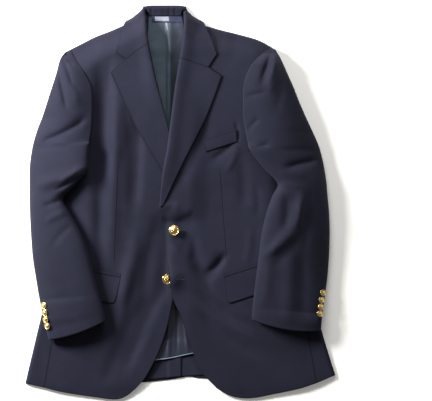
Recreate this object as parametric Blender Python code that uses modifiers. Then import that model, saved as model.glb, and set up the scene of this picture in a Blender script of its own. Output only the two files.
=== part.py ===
"""A two-button blazer laid flat, face up, as the sewn pieces that make it.

Metres, +Z up, +Y towards the collar, the floor at z = 0. Left and right are the wearer's, so
the left pieces are at +X. The back lies on the floor, the fronts arch over it and meet it at
the rim, and the sleeves lie over the sides. Plans are in centimetres and heights in
millimetres, as a tailor would note them.
"""

import math

import bpy
import numpy as np
from mathutils import Vector

PART = "blazer"

CM = 0.01
MM = 0.001

# Walls: cloth, cloth with its facing, lining, label and pocket jet
CLOTH = 1.6 * MM
FACED = 2.0 * MM
LINING = 1.0 * MM
LABEL_WALL = 0.6 * MM
JET_WALL = 1.2 * MM

# Gaps: at a sewn seam, under a button, from a sleeve to the armhole's back, and to the floor
SEAM = 0.3 * MM
BUTTON_GAP = 0.4 * MM
ARMHOLE_GAP = 2.5 * MM
OVER_FLOOR = CLOTH / 2 + 0.1 * MM

# Rise of the middle of one wall over the middle of the wall that it lies on
LAYER = 3.2 * MM
ON_FRONT = CLOTH + SEAM
ON_LINING = 1.1 * MM
UNDERLAP_HEIGHT = 2.75 * MM
HEM_HEIGHT = 2.7 * MM
HEM_OVER_VENT = 1.9 * MM

# Body's rim: its height, how soon it turns up, and how far inside it the back's top ends
RIM_HEIGHT = 8.0 * MM
RIM_ROUND = 0.8 * CM
TOP_INSET = 4.5 * MM
COLLAR_LIFT = 2.6 * MM

# Left front's rise over the right one, more over the lapel beneath, and over the low button
LAP_RISE = 3.2 * MM
LAP_OVER_LAPEL = 4.0 * MM
LAP_OVER_BUTTON = 9.5 * MM

# Roll of the lapels: radius at its start and above, where it starts, the break, and where the
# collar's edge leaves the fronts and goes down behind them
ROLL_LOW = 1.6 * MM
ROLL_HIGH = 4.2 * MM
ROLL_START_RIGHT = 16.5 * CM
ROLL_START_LEFT = -0.5 * CM
BREAK_Y = -2.3 * CM
EDGE_LEAVES = 36.2 * CM

# Sleeves: room inside the inner edge, gap between top and under sleeve, room over a flap, how
# far the cuff's underside reaches out, and how full their flat tubes are
EDGE_ROOM = 8.0 * MM
EDGE_GAP = 0.6 * MM
FLAP_ROOM = 3.4 * MM
CUFF_REACH = 0.9 * CM
FULLNESS = 2.2

# Centre pleat of the lining
PLEAT_X = -2.5 * CM
PLEAT_WIDTH = 0.6 * CM
PLEAT_RISE = 1.6 * MM

FRONT_BUTTON = 21.5 * MM
CUFF_BUTTON = 13.8 * MM
FRONT_STEPS, CUFF_STEPS = 20, 12

# Height of the fronts over the floor, down the middle of each: y in cm, height in mm, and how
# far in from the rim, in cm, the cloth takes to rise to it
LOFT = np.array([
    # y, height, run
    (-40.94, 4.0, 8.0),
    (-37.84, 7.5, 8.5),
    (-30.59, 12.0, 9.0),
    (-20.24, 18.0, 9.0),
    (-9.89, 22.0, 9.0),
    (0.46, 28.0, 8.5),
    (10.81, 36.0, 8.0),
    (21.16, 40.0, 7.0),
    (29.44, 38.0, 5.0),
    (37.72, 32.0, 4.0),
])

# Outline of the body from the hem corner up the side, round the shoulder and to the neck
SIDE_EDGE_RIGHT = [
    (-32.0, -37.47), (-31.44, -34.94), (-30.51, -31.01), (-29.68, -27.49), (-28.44, -22.31),
    (-27.2, -16.1), (-26.58, -9.89), (-26.48, -4.72), (-26.79, 1.49), (-27.14, 5.63),
    (-27.41, 9.36),
]
CAP_EDGE_RIGHT = [
    (-27.61, 11.84), (-27.66, 14.95), (-27.41, 19.5), (-26.89, 22.19), (-26.27, 24.47),
    (-25.54, 26.74), (-24.82, 29.23), (-23.99, 30.78),
]
SHOULDER_RIGHT = [
    (-22.75, 31.53), (-20.16, 32.85), (-17.68, 34.09), (-14.37, 35.38), (-12.61, 36.14),
    (-11.26, 36.76), (-10.12, 37.38), (-9.09, 38.13), (-7.95, 38.92),
]
SIDE_EDGE_LEFT = [
    (32.0, -35.73), (31.28, -33.49), (30.24, -30.18), (29.21, -26.66), (27.86, -21.28),
    (26.62, -16.1), (26.0, -9.89), (25.9, -4.72), (26.1, 1.49), (26.41, 5.63), (26.72, 9.36),
]
CAP_EDGE_LEFT = [
    (26.62, 11.84), (26.21, 14.95), (25.17, 19.09), (23.72, 22.6), (22.27, 25.92), (21.24, 27.99),
    (20.51, 29.85), (19.69, 31.19),
]
SHOULDER_LEFT = [
    (18.61, 32.06), (16.27, 33.37), (12.13, 34.61), (7.58, 35.73), (5.51, 36.31), (3.95, 36.76),
    (2.61, 37.67), (1.24, 38.79),
]

# Seams from hem to armhole: the side panel's to the front and, beneath, to the back; then the
# armhole up the front and up the back
SIDE_SEAM_RIGHT = [
    (-28.15, -38.32), (-26.64, -29.48), (-25.34, -21.28), (-24.51, -11.96), (-24.41, -4.72),
    (-24.72, 2.53), (-25.23, 9.15),
]
SIDE_SEAM_LEFT = [
    (28.17, -37.38), (26.83, -29.56), (25.38, -21.28), (24.34, -11.96), (24.14, -4.72),
    (24.24, 2.53), (24.55, 8.11),
]
BACK_SEAM_RIGHT = [
    (-29.48, -37.55), (-27.2, -27.49), (-24.92, -17.14), (-24.09, -8.86), (-24.09, -0.58),
    (-24.72, 8.74),
]
BACK_SEAM_LEFT = [
    (29.52, -36.02), (26.62, -26.66), (24.14, -16.1), (23.41, -7.82), (23.52, -0.58), (24.14, 7.7),
]
ARMHOLE_RIGHT = [
    (-25.23, 9.15), (-18.88, 11.63), (-18.88, 11.63), (-18.34, 15.36), (-18.22, 19.5),
    (-18.46, 23.23), (-19.44, 25.92), (-21.3, 28.92), (-22.75, 31.53),
]
ARMHOLE_LEFT = [
    (24.55, 8.11), (14.26, 10.6), (14.26, 10.6), (13.41, 14.74), (12.94, 19.09), (13.0, 22.81),
    (13.66, 26.33), (15.32, 29.15), (18.61, 32.06),
]
BACK_ARMHOLE_RIGHT = [
    (-24.72, 8.74), (-22.23, 14.12), (-21.2, 19.5), (-21.2, 23.64), (-21.82, 27.78),
    (-22.75, 31.53),
]
BACK_ARMHOLE_LEFT = [
    (24.14, 7.7), (19.17, 13.29), (16.48, 19.5), (16.17, 24.26), (17.1, 28.19), (18.61, 32.06),
]

# Largest folds in the fronts: from and to in cm, sideways bow in cm, widths left and right of
# the fold's line in cm, and height in mm, less than zero for a trough
BODY_FOLDS = np.array([
    # x0, y0, x1, y1, bow, left, right, height
    (-16.85, 27.37, -16.85, -13.0, 0.3, 1.5, 1.4, -6.0),
    (-13.95, 22.19, -14.37, -11.55, 0.4, 1.2, 1.3, 3.0),
    (-10.02, 18.05, -9.81, -4.72, -0.3, 1.3, 1.3, -2.5),
    (-4.43, -2.65, -7.53, -21.28, -0.5, 1.6, 1.4, -3.5),
    (-7.12, -20.24, -15.4, -37.63, -0.9, 1.5, 1.5, -3.0),
    (-8.16, -7.82, -12.09, -21.28, -0.4, 1.6, 1.6, 2.5),
    (5.09, 15.36, -0.5, 2.94, 0.2, 1.3, 1.8, -2.6),
    (-1.32, -0.79, 1.99, -2.44, -0.2, 1.2, 1.2, 2.6),
    (-2.98, -4.1, 0.75, -6.58, 0.5, 1.2, 1.2, -2.2),
    (8.61, -10.93, 5.51, -16.1, 0.5, 0.9, 1.3, -4.0),
    (3.64, -16.52, 12.34, -25.42, -0.7, 1.3, 1.3, -2.0),
    (11.92, 13.7, 6.13, 8.11, 0.4, 1.2, 1.2, -2.2),
    (12.34, 9.77, 13.17, -0.58, 0.3, 1.3, 1.3, -2.5),
    (17.51, -2.65, 16.89, -11.96, 0.2, 1.3, 1.3, 2.0),
])

# Plans of the flat pieces. Each is four rails that share their corners; a point given twice is
# a corner in a rail
FRONT_RIGHT = {
    "hem": [(-28.15, -38.32), (-24.92, -39.14), (-17.68, -40.28), (-13.12, -40.74),
            (-11.26, -40.08), (-9.4, -38.63)],
    "top": SHOULDER_RIGHT,
    "west": SIDE_SEAM_RIGHT + ARMHOLE_RIGHT,
    "corners": [(-25.23, 9.15), (-18.88, 11.63)],
    "east": [(-9.4, -38.63), (-7.49, -36.49), (-5.28, -32.54), (-3.97, -29.46), (-2.73, -25.5),
             (-2.07, -22.42), (-1.47, -19.5), (-0.64, -15.28), (-0.08, -9.89), (0.19, -5.34),
             (0.19, -0.37), (-0.37, 3.56), (-1.22, 9.36), (-2.57, 15.63), (-4.55, 23.33),
             (-5.67, 28.19), (-6.6, 32.85), (-7.0, 35.65), (-7.95, 38.92)],
}
FRONT_LEFT = {
    "hem": [(7.58, -38.46), (9.44, -39.64), (11.92, -40.39), (14.82, -40.49), (19.17, -39.7),
            (24.96, -38.46), (28.17, -37.38)],
    "top": SHOULDER_LEFT[::-1],
    "west": [(7.58, -38.46), (5.71, -36.6), (4.06, -34.73), (2.61, -30.93), (1.74, -28.42),
             (0.75, -25.42), (-0.17, -22.73), (-1.03, -21.07), (-1.53, -19.62), (-2.24, -14.66),
             (-3.06, -10.72), (-3.42, -6.79), (-4.24, -0.89), (-3.56, 6.25), (-2.69, 11.01),
             (-2.13, 15.36), (-0.91, 24.67), (-0.04, 29.81), (0.54, 33.37), (0.79, 36.68),
             (1.24, 38.79)],
    "east": SIDE_SEAM_LEFT + ARMHOLE_LEFT,
    "corners": [(24.55, 8.11), (14.26, 10.6)],
}
LAPEL_RIGHT = {
    "roll": [(0.19, -0.37), (-0.37, 3.56), (-1.22, 9.36), (-2.57, 15.63), (-4.55, 23.33),
             (-5.67, 28.19), (-6.58, 32.75)],
    "edge": [(-0.58, -0.27), (-3.39, 6.04), (-8.84, 15.05), (-12.54, 22.81), (-14.39, 26.83)],
    "top": [(-6.58, 32.75), (-8.88, 31.3), (-11.12, 29.6), (-14.39, 26.83)],
}
LAPEL_LEFT = {
    "roll": [(-4.24, -0.89), (-3.56, 6.25), (-2.69, 11.01), (-2.13, 15.36), (-0.91, 24.67),
             (-0.04, 29.81)],
    "edge": [(-3.71, -0.68), (0.33, 7.91), (4.97, 17.02), (6.85, 21.57), (8.45, 26.12)],
    "top": [(-0.04, 29.81), (2.61, 28.96), (5.59, 27.95), (5.59, 27.95), (8.45, 26.12)],
}
LEAF_RIGHT = {
    "roll": [(-6.6, 32.81), (-7.0, 35.65), (-7.24, 38.13), (-7.31, 39.66)],
    "edge": [(-13.33, 31.09), (-12.61, 33.37), (-11.96, 35.65), (-11.36, 37.26), (-10.23, 37.92),
             (-9.4, 38.54), (-8.57, 39.21), (-8.07, 39.66)],
    "bottom": [(-6.6, 32.81), (-8.9, 31.36), (-11.12, 29.66), (-11.12, 29.66), (-13.33, 31.09)],
}
LEAF_LEFT = {
    "roll": [(-0.02, 29.87), (0.54, 33.37), (0.79, 36.68), (0.72, 39.45)],
    "edge": [(7.49, 30.68), (6.44, 33.37), (5.42, 35.65), (4.76, 37.12), (3.35, 37.92),
             (2.44, 38.54), (1.78, 39.16), (1.49, 39.45)],
    "bottom": [(-0.02, 29.87), (2.61, 29.02), (5.59, 28.01), (5.59, 28.01), (7.49, 30.68)],
}
BACK_RIGHT = {
    "hem": [(-29.48, -37.55), (-18.71, -37.55), (-7.78, -37.22), (-1.95, -36.64)],
    "top": SHOULDER_RIGHT + [(-7.95, 38.92), (-5.88, 39.37), (-2.98, 39.54)],
    "west": BACK_SEAM_RIGHT + BACK_ARMHOLE_RIGHT,
    "corners": [(-24.72, 8.74)],
    "east": [(-1.95, -36.64), (-2.15, -9.89), (-2.57, 17.02), (-2.98, 39.54)],
}
BACK_LEFT = {
    "hem": [(-1.95, -36.64), (1.88, -36.04), (3.79, -36.35), (16.48, -36.39), (29.52, -36.02)],
    "top": [(-2.98, 39.54), (-0.91, 39.37), (1.24, 38.79)] + SHOULDER_LEFT[::-1],
    "west": [(-1.95, -36.64), (-2.15, -9.89), (-2.57, 17.02), (-2.98, 39.54)],
    "east": BACK_SEAM_LEFT + BACK_ARMHOLE_LEFT,
    "corners": [(24.14, 7.7)],
}
LINING_BACK = {
    "hem": [(-8.78, -32.77), (-5.13, -32.6), (-2.07, -32.23), (2.4, -31.28), (5.3, -30.91)],
    "top": [(-6.5, 38.54), (-4.22, 38.63), (-1.74, 38.63), (0.33, 38.54)],
    "west": [(-8.78, -32.77), (-8.78, -9.89), (-8.57, 17.02), (-6.91, 31.51), (-6.5, 38.54)],
    "east": [(5.3, -30.91), (5.3, -9.89), (3.85, 17.02), (1.37, 31.51), (0.33, 38.54)],
}
VENT_UNDERLAP = [(-1.86, -35.77), (0.12, -35.56), (0.04, -15.69), (-1.95, -15.69)]
HEM_RIGHT = [(-8.57, -36.85), (0.08, -35.98), (0.04, -30.39), (-8.57, -31.22)]
HEM_LEFT = [(0.17, -35.98), (5.3, -35.69), (5.3, -29.56), (0.12, -30.39)]
LABEL = [(-5.88, 37.26), (0.54, 37.18), (0.12, 38.67), (-5.88, 38.71)]

# Collar round the back of the neck, a row for each line along it, from the seam inside, over
# the fold and down to the fall's edge beneath the back: y, z in mm, west and east end
COLLAR_BACK = np.array([
    # y, height, west, east
    (38.63, 8.2, -6.4, 0.12),
    (39.25, 9.8, -6.54, 0.17),
    (39.91, 12.0, -7.0, 0.54),
    (40.28, 12.4, -7.35, 0.83),
    (40.57, 9.6, -7.43, 0.87),
    (40.65, 6.4, -7.43, 0.87),
    (40.57, 3.0, -7.43, 0.87),
    (40.2, 1.2, -7.53, 0.91),
    (39.58, 1.0, -7.62, 0.99),
    (38.75, 1.0, -8.57, 1.61),
    (37.92, 1.0, -9.6, 2.61),
    (36.89, 1.0, -10.64, 3.73),
    (36.06, 1.0, -11.05, 4.18),
])

# Height of the lining over the floor in mm, where it passes over the vent and the turned hem
LINING_RISE = np.array([
    # y, height
    (-33.08, 6.5), (-29.35, 6.5), (-27.49, 4.9), (-12.38, 4.9), (-9.89, 3.0),
])

# Sleeves, a row for each section from the shoulder to the cuff: outer and inner edge, the outer
# edge's height, the crown over the line between the edges, how much of the section is sleeve
# head (1) or closed tube (0), and the section's bow towards the cuff
SLEEVE_RIGHT = np.array([
    # outer x, y, inner x, y, edge mm, crown mm, head, bow cm
    (-23.58, 31.13, -22.81, 31.26, 1.4, 0.0, 1.0, 0.0),
    (-24.86, 29.44, -21.65, 29.33, 6.0, 3.0, 1.0, 0.0),
    (-25.65, 26.54, -19.75, 26.54, 8.0, 6.0, 1.0, 0.0),
    (-26.52, 23.85, -18.53, 23.95, 8.0, 8.0, 1.0, 0.0),
    (-27.51, 20.74, -18.28, 21.16, 8.0, 10.0, 1.0, 0.0),
    (-28.44, 17.84, -18.3, 18.26, 8.0, 11.0, 1.0, 0.0),
    (-29.56, 14.95, -18.44, 15.36, 8.0, 13.0, 1.0, 0.0),
    (-30.3, 12.46, -18.84, 12.77, 8.0, 14.0, 0.6, 0.0),
    (-30.66, 10.81, -18.96, 11.84, 8.0, 17.0, 0.0, 0.0),
    (-31.07, 7.91, -19.13, 9.15, 8.5, 20.0, 0.0, 0.0),
    (-31.13, 5.42, -19.38, 6.56, 9.0, 22.0, 0.0, 0.0),
    (-31.13, 2.94, -22.23, 3.25, 9.5, 24.0, 0.0, 0.0),
    (-31.13, 0.25, -24.38, 0.7, 10.0, 26.0, 0.0, 0.0),
    (-31.05, -2.65, -23.0, -2.24, 10.0, 26.0, 0.0, 0.0),
    (-30.86, -6.38, -20.84, -6.17, 10.0, 24.0, 0.0, 0.0),
    (-30.51, -11.14, -19.13, -10.72, 10.0, 22.0, 0.0, 0.0),
    (-29.89, -15.28, -18.05, -14.86, 10.0, 20.0, 0.0, 0.0),
    (-29.12, -19.83, -16.99, -18.8, 10.0, 18.0, 0.0, 0.0),
    (-28.19, -24.18, -16.1, -21.9, 9.5, 16.0, 0.0, 0.0),
    (-27.2, -28.42, -15.61, -24.49, 9.0, 14.0, 0.0, 0.6),
])
SLEEVE_LEFT = np.array([
    # outer x, y, inner x, y, edge mm, crown mm, head, bow cm
    (19.62, 31.51, 18.69, 32.0, 1.4, 0.0, 1.0, 0.0),
    (20.82, 29.44, 15.52, 29.35, 6.0, 4.0, 1.0, 0.0),
    (22.07, 26.64, 13.77, 26.54, 8.0, 7.0, 1.0, 0.0),
    (23.31, 23.85, 13.08, 23.64, 8.0, 9.0, 1.0, 0.0),
    (24.45, 20.95, 12.98, 20.74, 8.0, 10.0, 1.0, 0.0),
    (25.79, 17.84, 13.02, 17.84, 8.0, 12.0, 1.0, 0.0),
    (27.03, 15.15, 13.41, 15.05, 8.0, 14.0, 1.0, 0.0),
    (28.34, 12.25, 13.95, 12.36, 8.0, 15.0, 0.6, 0.0),
    (28.96, 10.39, 14.39, 10.81, 8.0, 18.0, 0.0, 0.0),
    (29.62, 7.49, 16.89, 7.64, 8.5, 20.0, 0.0, 0.0),
    (30.14, 4.18, 20.12, 3.97, 9.0, 24.0, 0.0, 0.0),
    (30.39, 1.28, 19.06, 1.18, 9.5, 26.0, 0.0, 0.0),
    (30.72, -2.44, 17.82, -2.34, 10.0, 26.0, 0.0, 0.0),
    (30.82, -6.58, 16.89, -6.58, 10.0, 24.0, 0.0, 0.0),
    (30.68, -11.14, 16.31, -11.14, 10.0, 22.0, 0.0, 0.0),
    (30.35, -15.48, 15.77, -15.28, 10.0, 20.0, 0.0, 0.0),
    (29.77, -19.83, 15.28, -19.21, 10.0, 17.0, 0.0, 0.0),
    (29.31, -23.35, 14.99, -21.9, 9.5, 15.0, 0.0, 0.0),
    (29.02, -26.56, 14.82, -24.24, 9.0, 13.0, 0.0, 0.9),
])

# Largest folds in the sleeves, in the columns of BODY_FOLDS
SLEEVE_FOLDS = np.array([
    # x0, y0, x1, y1, bow, left, right, height
    (-24.51, 29.44, -21.61, 23.23, 0.1, 0.8, 0.8, -2.2),
    (-25.54, 26.95, -23.27, 19.09, 0.1, 0.8, 0.8, -2.6),
    (-19.13, 17.84, -29.89, 11.63, 0.5, 1.2, 1.0, -4.0),
    (-19.13, 6.46, -29.89, 3.15, -0.3, 1.0, 1.2, 3.0),
    (-19.95, 4.6, -29.06, 1.28, -0.2, 1.0, 1.0, -2.0),
    (18.75, 31.09, 16.68, 24.05, 0.2, 0.8, 0.8, -3.0),
    (20.0, 30.26, 18.55, 22.81, 0.2, 0.9, 0.9, 3.0),
    (12.96, 21.78, 18.13, 22.81, 0.1, 0.8, 0.8, -1.6),
    (13.37, 14.74, 16.27, 17.43, 0.1, 0.8, 0.8, -1.8),
    (14.2, 10.81, 18.55, 12.05, 0.1, 0.8, 0.8, -2.0),
    (21.65, 7.08, 29.31, 8.74, 0.2, 1.0, 0.9, -4.0),
    (25.38, 2.53, 16.89, -11.34, 1.9, 1.5, 1.2, 5.0),
    (22.07, 1.28, 21.86, -6.17, 0.2, 1.2, 1.2, -4.0),
    (22.69, -9.89, 22.07, -24.8, 0.2, 1.5, 1.5, 3.0),
])

# Hip pocket flaps, their jets and the breast welt: four plan corners each, hem first
FLAP_RIGHT = [(-25.54, -18.92), (-13.64, -20.99), (-12.34, -15.61), (-24.92, -13.29)]
FLAP_LEFT = [(9.75, -21.03), (23.93, -16.31), (23.1, -11.03), (9.07, -15.61)]
JET_RIGHT = [(-24.92, -13.17), (-12.32, -15.48), (-12.32, -14.82), (-24.92, -12.5)]
JET_LEFT = [(9.03, -15.48), (23.1, -10.91), (23.1, -10.23), (9.03, -14.82)]
BREAST_WELT = [(5.3, 10.52), (11.63, 12.59), (11.51, 14.95), (4.72, 12.71)]

# Places of the front buttons, in cm, and how far the low one leans from under the lap
BUTTON_TOP = (-1.37, -5.84)
BUTTON_LOW = (-2.94, -15.92)
LOW_LEAN = 0.3

# Cuff buttons: how far down the sleeve's sections the first and last lie, and how far in
CUFF_ROWS_RIGHT = (17.36, 18.34)
CUFF_ROWS_LEFT = (15.76, 16.95)
CUFF_INSET = 0.045

# Middle of the neck, and the heights in the plan where the big pieces have their rows
NECK_X = -3.39 * CM
LEVELS = np.linspace(-35.0, 6.6, 16) * CM

# Shares across a turned piece from its roll to its edge, and across a top and an under sleeve
# from the outer edge to the inner one
LAPEL_SHARES = np.array([0, 0.1, 0.22, 0.36, 0.5, 0.64, 0.78, 0.9, 1.0])
LEAF_SHARES = np.array([0, 0.12, 0.3, 0.48, 0.66, 0.8, 0.9, 0.96, 0.99, 1.0])
TOP_SHARES = np.array([0, 0.015, 0.05, 0.13, 0.26, 0.4, 0.54, 0.68, 0.8, 0.9, 0.97, 1.0])
UNDER_SHARES = np.array([0, 0.02, 0.06, 0.14, 0.23, 0.33, 0.43, 0.54, 0.65, 0.76, 0.87, 0.95,
                         1.0])

# Turned profile of a button in radii, from the middle of its face down its rim to the shank,
# and the height of the disc's lower side
BUTTON_PROFILE = [(0, 0.68), (0.55, 0.61), (0.80, 0.54), (0.97, 0.55), (1.0, 0.44), (0.90, 0.32),
                  (0.24, 0.30), (0.22, 0), (0, 0)]
DISC_FOOT = 0.30

# Material of each slot: colour, roughness, metallic
SLOTS = {
    "wool": ((0.020, 0.024, 0.045), 0.85, 0.0),
    "lining": ((0.035, 0.055, 0.065), 0.45, 0.0),
    "label": ((0.030, 0.035, 0.080), 0.6, 0.0),
    "gilt": ((0.83, 0.60, 0.22), 0.25, 1.0),
}


def smooth_rail(points):
    """Fine line in metres through plan points in cm; a doubled point is a corner."""
    points = np.array(points, float) * CM
    same = np.hypot(*np.diff(points, axis=0).T) < 1e-9
    parts = np.split(points, np.flatnonzero(same) + 1)
    return np.concatenate([curved(part) for part in parts])


def curved(points, fine=8):
    """Cubic pieces through the points, each slope taken from the two neighbours."""
    if len(points) < 3:
        return points
    knots = np.append(0.0, np.cumsum(np.hypot(*np.diff(points, axis=0).T) ** 0.5))
    steps = [np.linspace(a, b, fine, endpoint=False) for a, b in zip(knots[:-1], knots[1:])]
    at = np.append(np.concatenate(steps), knots[-1])
    return cubic(at, knots, points, np.gradient(points, knots, axis=0))


def cubic(at, knots, values, slopes):
    """Hermite pieces that meet the value and the slope at each knot."""
    i = np.clip(np.searchsorted(knots, at, side="right") - 1, 0, len(knots) - 2)
    span = knots[i + 1] - knots[i]
    t = np.clip((at - knots[i]) / span, 0.0, 1.0)
    if values.ndim > 1:
        span, t = span[:, None], t[:, None]
    rise = t * t * (3 - 2 * t)
    bend = slopes[i] * t * (1 - t) ** 2 - slopes[i + 1] * t * t * (1 - t)
    return values[i] * (1 - rise) + values[i + 1] * rise + span * bend


def column(at, table, index, unit):
    """Smooth value of a table's column at any Y, flat beyond the table's ends."""
    rows = table[np.argsort(table[:, 0])]
    knots, values = rows[:, 0] * CM, rows[:, index] * unit
    pace = np.diff(values) / np.diff(knots)
    before, after = pace[:-1], pace[1:]
    level = before * after <= 0
    middle = np.where(level, 0.0, 2 * before * after / np.where(level, 1.0, before + after))
    slopes = np.concatenate([[0.0], middle, [0.0]])
    return cubic(np.ravel(at), knots, values, slopes).reshape(np.shape(at))


def at_shares(line, shares, by_height):
    """Points of a fine line at shares of its rise in Y, or of its length."""
    if by_height:
        run = np.maximum.accumulate(line[:, 1] - line[0, 1])
    else:
        run = np.append(0.0, np.cumsum(np.hypot(*np.diff(line, axis=0).T)))
    run = run + np.arange(len(run)) * 1e-9
    where = shares * run[-1]
    return np.column_stack([np.interp(where, run, line[:, 0]), np.interp(where, run, line[:, 1])])


def level_shares(line, levels):
    """Shares of a rail's rise in Y at which it passes the given levels, and its two ends."""
    shares = (np.sort(levels) - line[0, 1]) / (line[-1, 1] - line[0, 1])
    return np.concatenate([[0.0], shares, [1.0]])


def point_shares(points):
    """Share of a rail's length at each of its points."""
    run = np.append(0.0, np.cumsum(np.hypot(*np.diff(np.array(points, float), axis=0).T)))
    return run / run[-1]


def corner_shares(points):
    """Shares of a rail's length at which its corners lie."""
    shares = point_shares(points)
    return shares[1:][np.diff(shares) < 1e-9]


def moved_west(line, gap):
    """A rail that runs up the plan, moved sideways to the west by a gap at each point."""
    along = np.gradient(line, axis=0)
    along /= np.maximum(np.hypot(*along.T), 1e-12)[:, None]
    return line + np.column_stack([-along[:, 1], along[:, 0]]) * np.reshape(gap, (-1, 1))


def blended(bottom, top, start, end, rows, cols):
    """Plan grid between four sampled rails: the two ruled surfaces less their common corners."""
    u, v = cols[None, :, None], rows[:, None, None]
    sides = (1 - u) * start[:, None] + u * end[:, None]
    ends = (1 - v) * bottom[None] + v * top[None]
    corners = ((1 - v) * ((1 - u) * bottom[0] + u * bottom[-1])
               + v * ((1 - u) * top[0] + u * top[-1]))
    return sides + ends - corners


def step(x, start, end):
    """Smooth rise from 0 at start to 1 at end."""
    t = np.clip((x - start) / (end - start), 0.0, 1.0)
    return t * t * (3 - 2 * t)


def arc(t):
    """Quarter circle: upright at 0, and level at 1 from 1 on."""
    return np.sqrt(1 - (1 - np.clip(t, 0.0, 1.0)) ** 2)


def folds(x, y, table):
    """Sum of soft ridges and troughs that fade along their lines and to both sides."""
    total = np.zeros(np.shape(x))
    for x0, y0, x1, y1, bow, left, right, height in table:
        dx, dy = (x1 - x0) * CM, (y1 - y0) * CM
        length = math.hypot(dx, dy)
        t = ((x - x0 * CM) * dx + (y - y0 * CM) * dy) / length ** 2
        side = ((y - y0 * CM) * dx - (x - x0 * CM) * dy) / length
        side = side - bow * CM * 4 * np.clip(t, 0, 1) * (1 - np.clip(t, 0, 1))
        width = np.where(side > 0, left, right) * CM
        fade = step(t, -0.15, 0.25) * step(t, 1.15, 0.75)
        total = total + height * MM * fade * np.exp(-(side / width) ** 2)
    return total


RIM_LINES = [smooth_rail(SIDE_EDGE_RIGHT + CAP_EDGE_RIGHT + SHOULDER_RIGHT),
             smooth_rail(SIDE_EDGE_LEFT + CAP_EDGE_LEFT + SHOULDER_LEFT)]


def rim_distance(x, y):
    """Distance in from the body's rim, less than zero outside it."""
    nearest = np.full(np.shape(x), 1.0)
    for line in RIM_LINES:
        for (ax, ay), (bx, by) in zip(line[:-1], line[1:]):
            dx, dy = bx - ax, by - ay
            t = np.clip(((x - ax) * dx + (y - ay) * dy) / (dx * dx + dy * dy), 0, 1)
            nearest = np.minimum(nearest, np.hypot(x - ax - t * dx, y - ay - t * dy))
    west, east = (np.interp(y, line[:, 1], line[:, 0]) for line in RIM_LINES)
    return np.where((x > west) & (x < east), nearest, -nearest)


def ground(x, y):
    """What the back lies on: the floor, and at the neck the collar's fall."""
    near = step(y, 29.5 * CM, 32.0 * CM) * step(np.abs(x - NECK_X), 15.0 * CM, 12.5 * CM)
    return COLLAR_LIFT * near


def body_height(x, y):
    """Height of the middle of the wall of the fronts and the side panels."""
    inward = rim_distance(x, y)
    loft = column(y, LOFT, 1, MM)
    rim = np.minimum(RIM_HEIGHT, 0.6 * loft)
    rise = rim * arc(inward / RIM_ROUND)
    rise = rise + (loft - rim) * step(inward / column(y, LOFT, 2, CM), 0, 1)
    inner = step(inward, 1.0 * CM, 5.0 * CM) * step(y, -39.5 * CM, -36.0 * CM)
    return ground(x, y) + CLOTH / 2 + rise + inner * folds(x, y, BODY_FOLDS)


def lap_height(x, y):
    """Left front: the body's height, lifted over the right front, its lapel and its button."""
    lapel_under = step(y, -4.5 * CM, -1.5 * CM)
    lift = (LAP_RISE + LAP_OVER_LAPEL * lapel_under) * step(y, 26 * CM, 16 * CM)
    lift = lift * step(x, 6.2 * CM, 1.4 * CM)
    near = np.hypot(x - (BUTTON_LOW[0] + 1.2) * CM, y - BUTTON_LOW[1] * CM) / (2.0 * CM)
    return body_height(x, y) + lift + LAP_OVER_BUTTON * np.exp(-near ** 2)


def highest(height, x, y, reach):
    """Highest of a surface at a place and at eight places around it."""
    around = [(a * reach, b * reach) for a in (-1, 0, 1) for b in (-1, 0, 1)]
    return np.max([height(x + dx, y + dy) for dx, dy in around], axis=0)


def roll_radius(y, lapel_start):
    """Radius of the soft roll of a lapel or collar, small where it starts."""
    return ROLL_LOW + (ROLL_HIGH - ROLL_LOW) * step(y, lapel_start, lapel_start + 12 * CM)


def with_height(flat, height):
    """Plan grid and its heights as one grid of points."""
    return np.dstack([flat, height])


def material(slot):
    """Plain material of a slot, made once."""
    if slot in bpy.data.materials:
        return bpy.data.materials[slot]
    colour, roughness, metallic = SLOTS[slot]
    made = bpy.data.materials.new(slot)
    made.use_nodes = True
    shader = made.node_tree.nodes["Principled BSDF"]
    shader.inputs["Base Color"].default_value = (*colour, 1.0)
    shader.inputs["Roughness"].default_value = roughness
    shader.inputs["Metallic"].default_value = metallic
    return made


def linked(name, mesh, slot):
    """Object in the part's collection, with its slot's material."""
    mesh.materials.append(material(slot))
    part = bpy.data.objects.new(name, mesh)
    bpy.data.collections[PART].objects.link(part)
    return part


def shell(name, grid, thickness, slot="wool"):
    """Cloth piece: an open grid of points with Solidify, the wall centred on the points."""
    rows, cols = grid.shape[:2]
    index = np.arange(rows * cols).reshape(rows, cols)
    faces = np.stack([index[:-1, :-1], index[:-1, 1:], index[1:, 1:], index[1:, :-1]], axis=-1)
    mesh = bpy.data.meshes.new(name)
    mesh.from_pydata(grid.reshape(-1, 3).tolist(), [], faces.reshape(-1, 4).tolist())
    part = linked(name, mesh, slot)
    wall = part.modifiers.new("wall", "SOLIDIFY")
    wall.thickness = thickness
    wall.offset = 0.0
    wall.use_even_offset = True


def panel(rails, rows, cols, west_gap, east_gap, top_gap=None):
    """Plan grid of a panel between its rails, in from each side by a gap."""
    west, east = smooth_rail(rails["west"]), smooth_rail(rails["east"])
    west = moved_west(west, -west_gap(west[:, 1]))
    east = moved_west(east, east_gap(east[:, 1]))
    west, east = at_shares(west, rows, True), at_shares(east, rows, True)
    hem = at_shares(smooth_rail(rails["hem"]), cols, False)
    top = smooth_rail(rails["top"])
    if top_gap:
        top = moved_west(top, -top_gap(top[:, 0]))
    top = at_shares(top, cols, False)
    for rail, corner in ((west, top[0]), (east, top[-1])):
        if np.hypot(*(rail[-1] - corner)) > 1 * MM:
            rail[-1] = corner
    return blended(hem, top, west, east, rows, cols)


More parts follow.
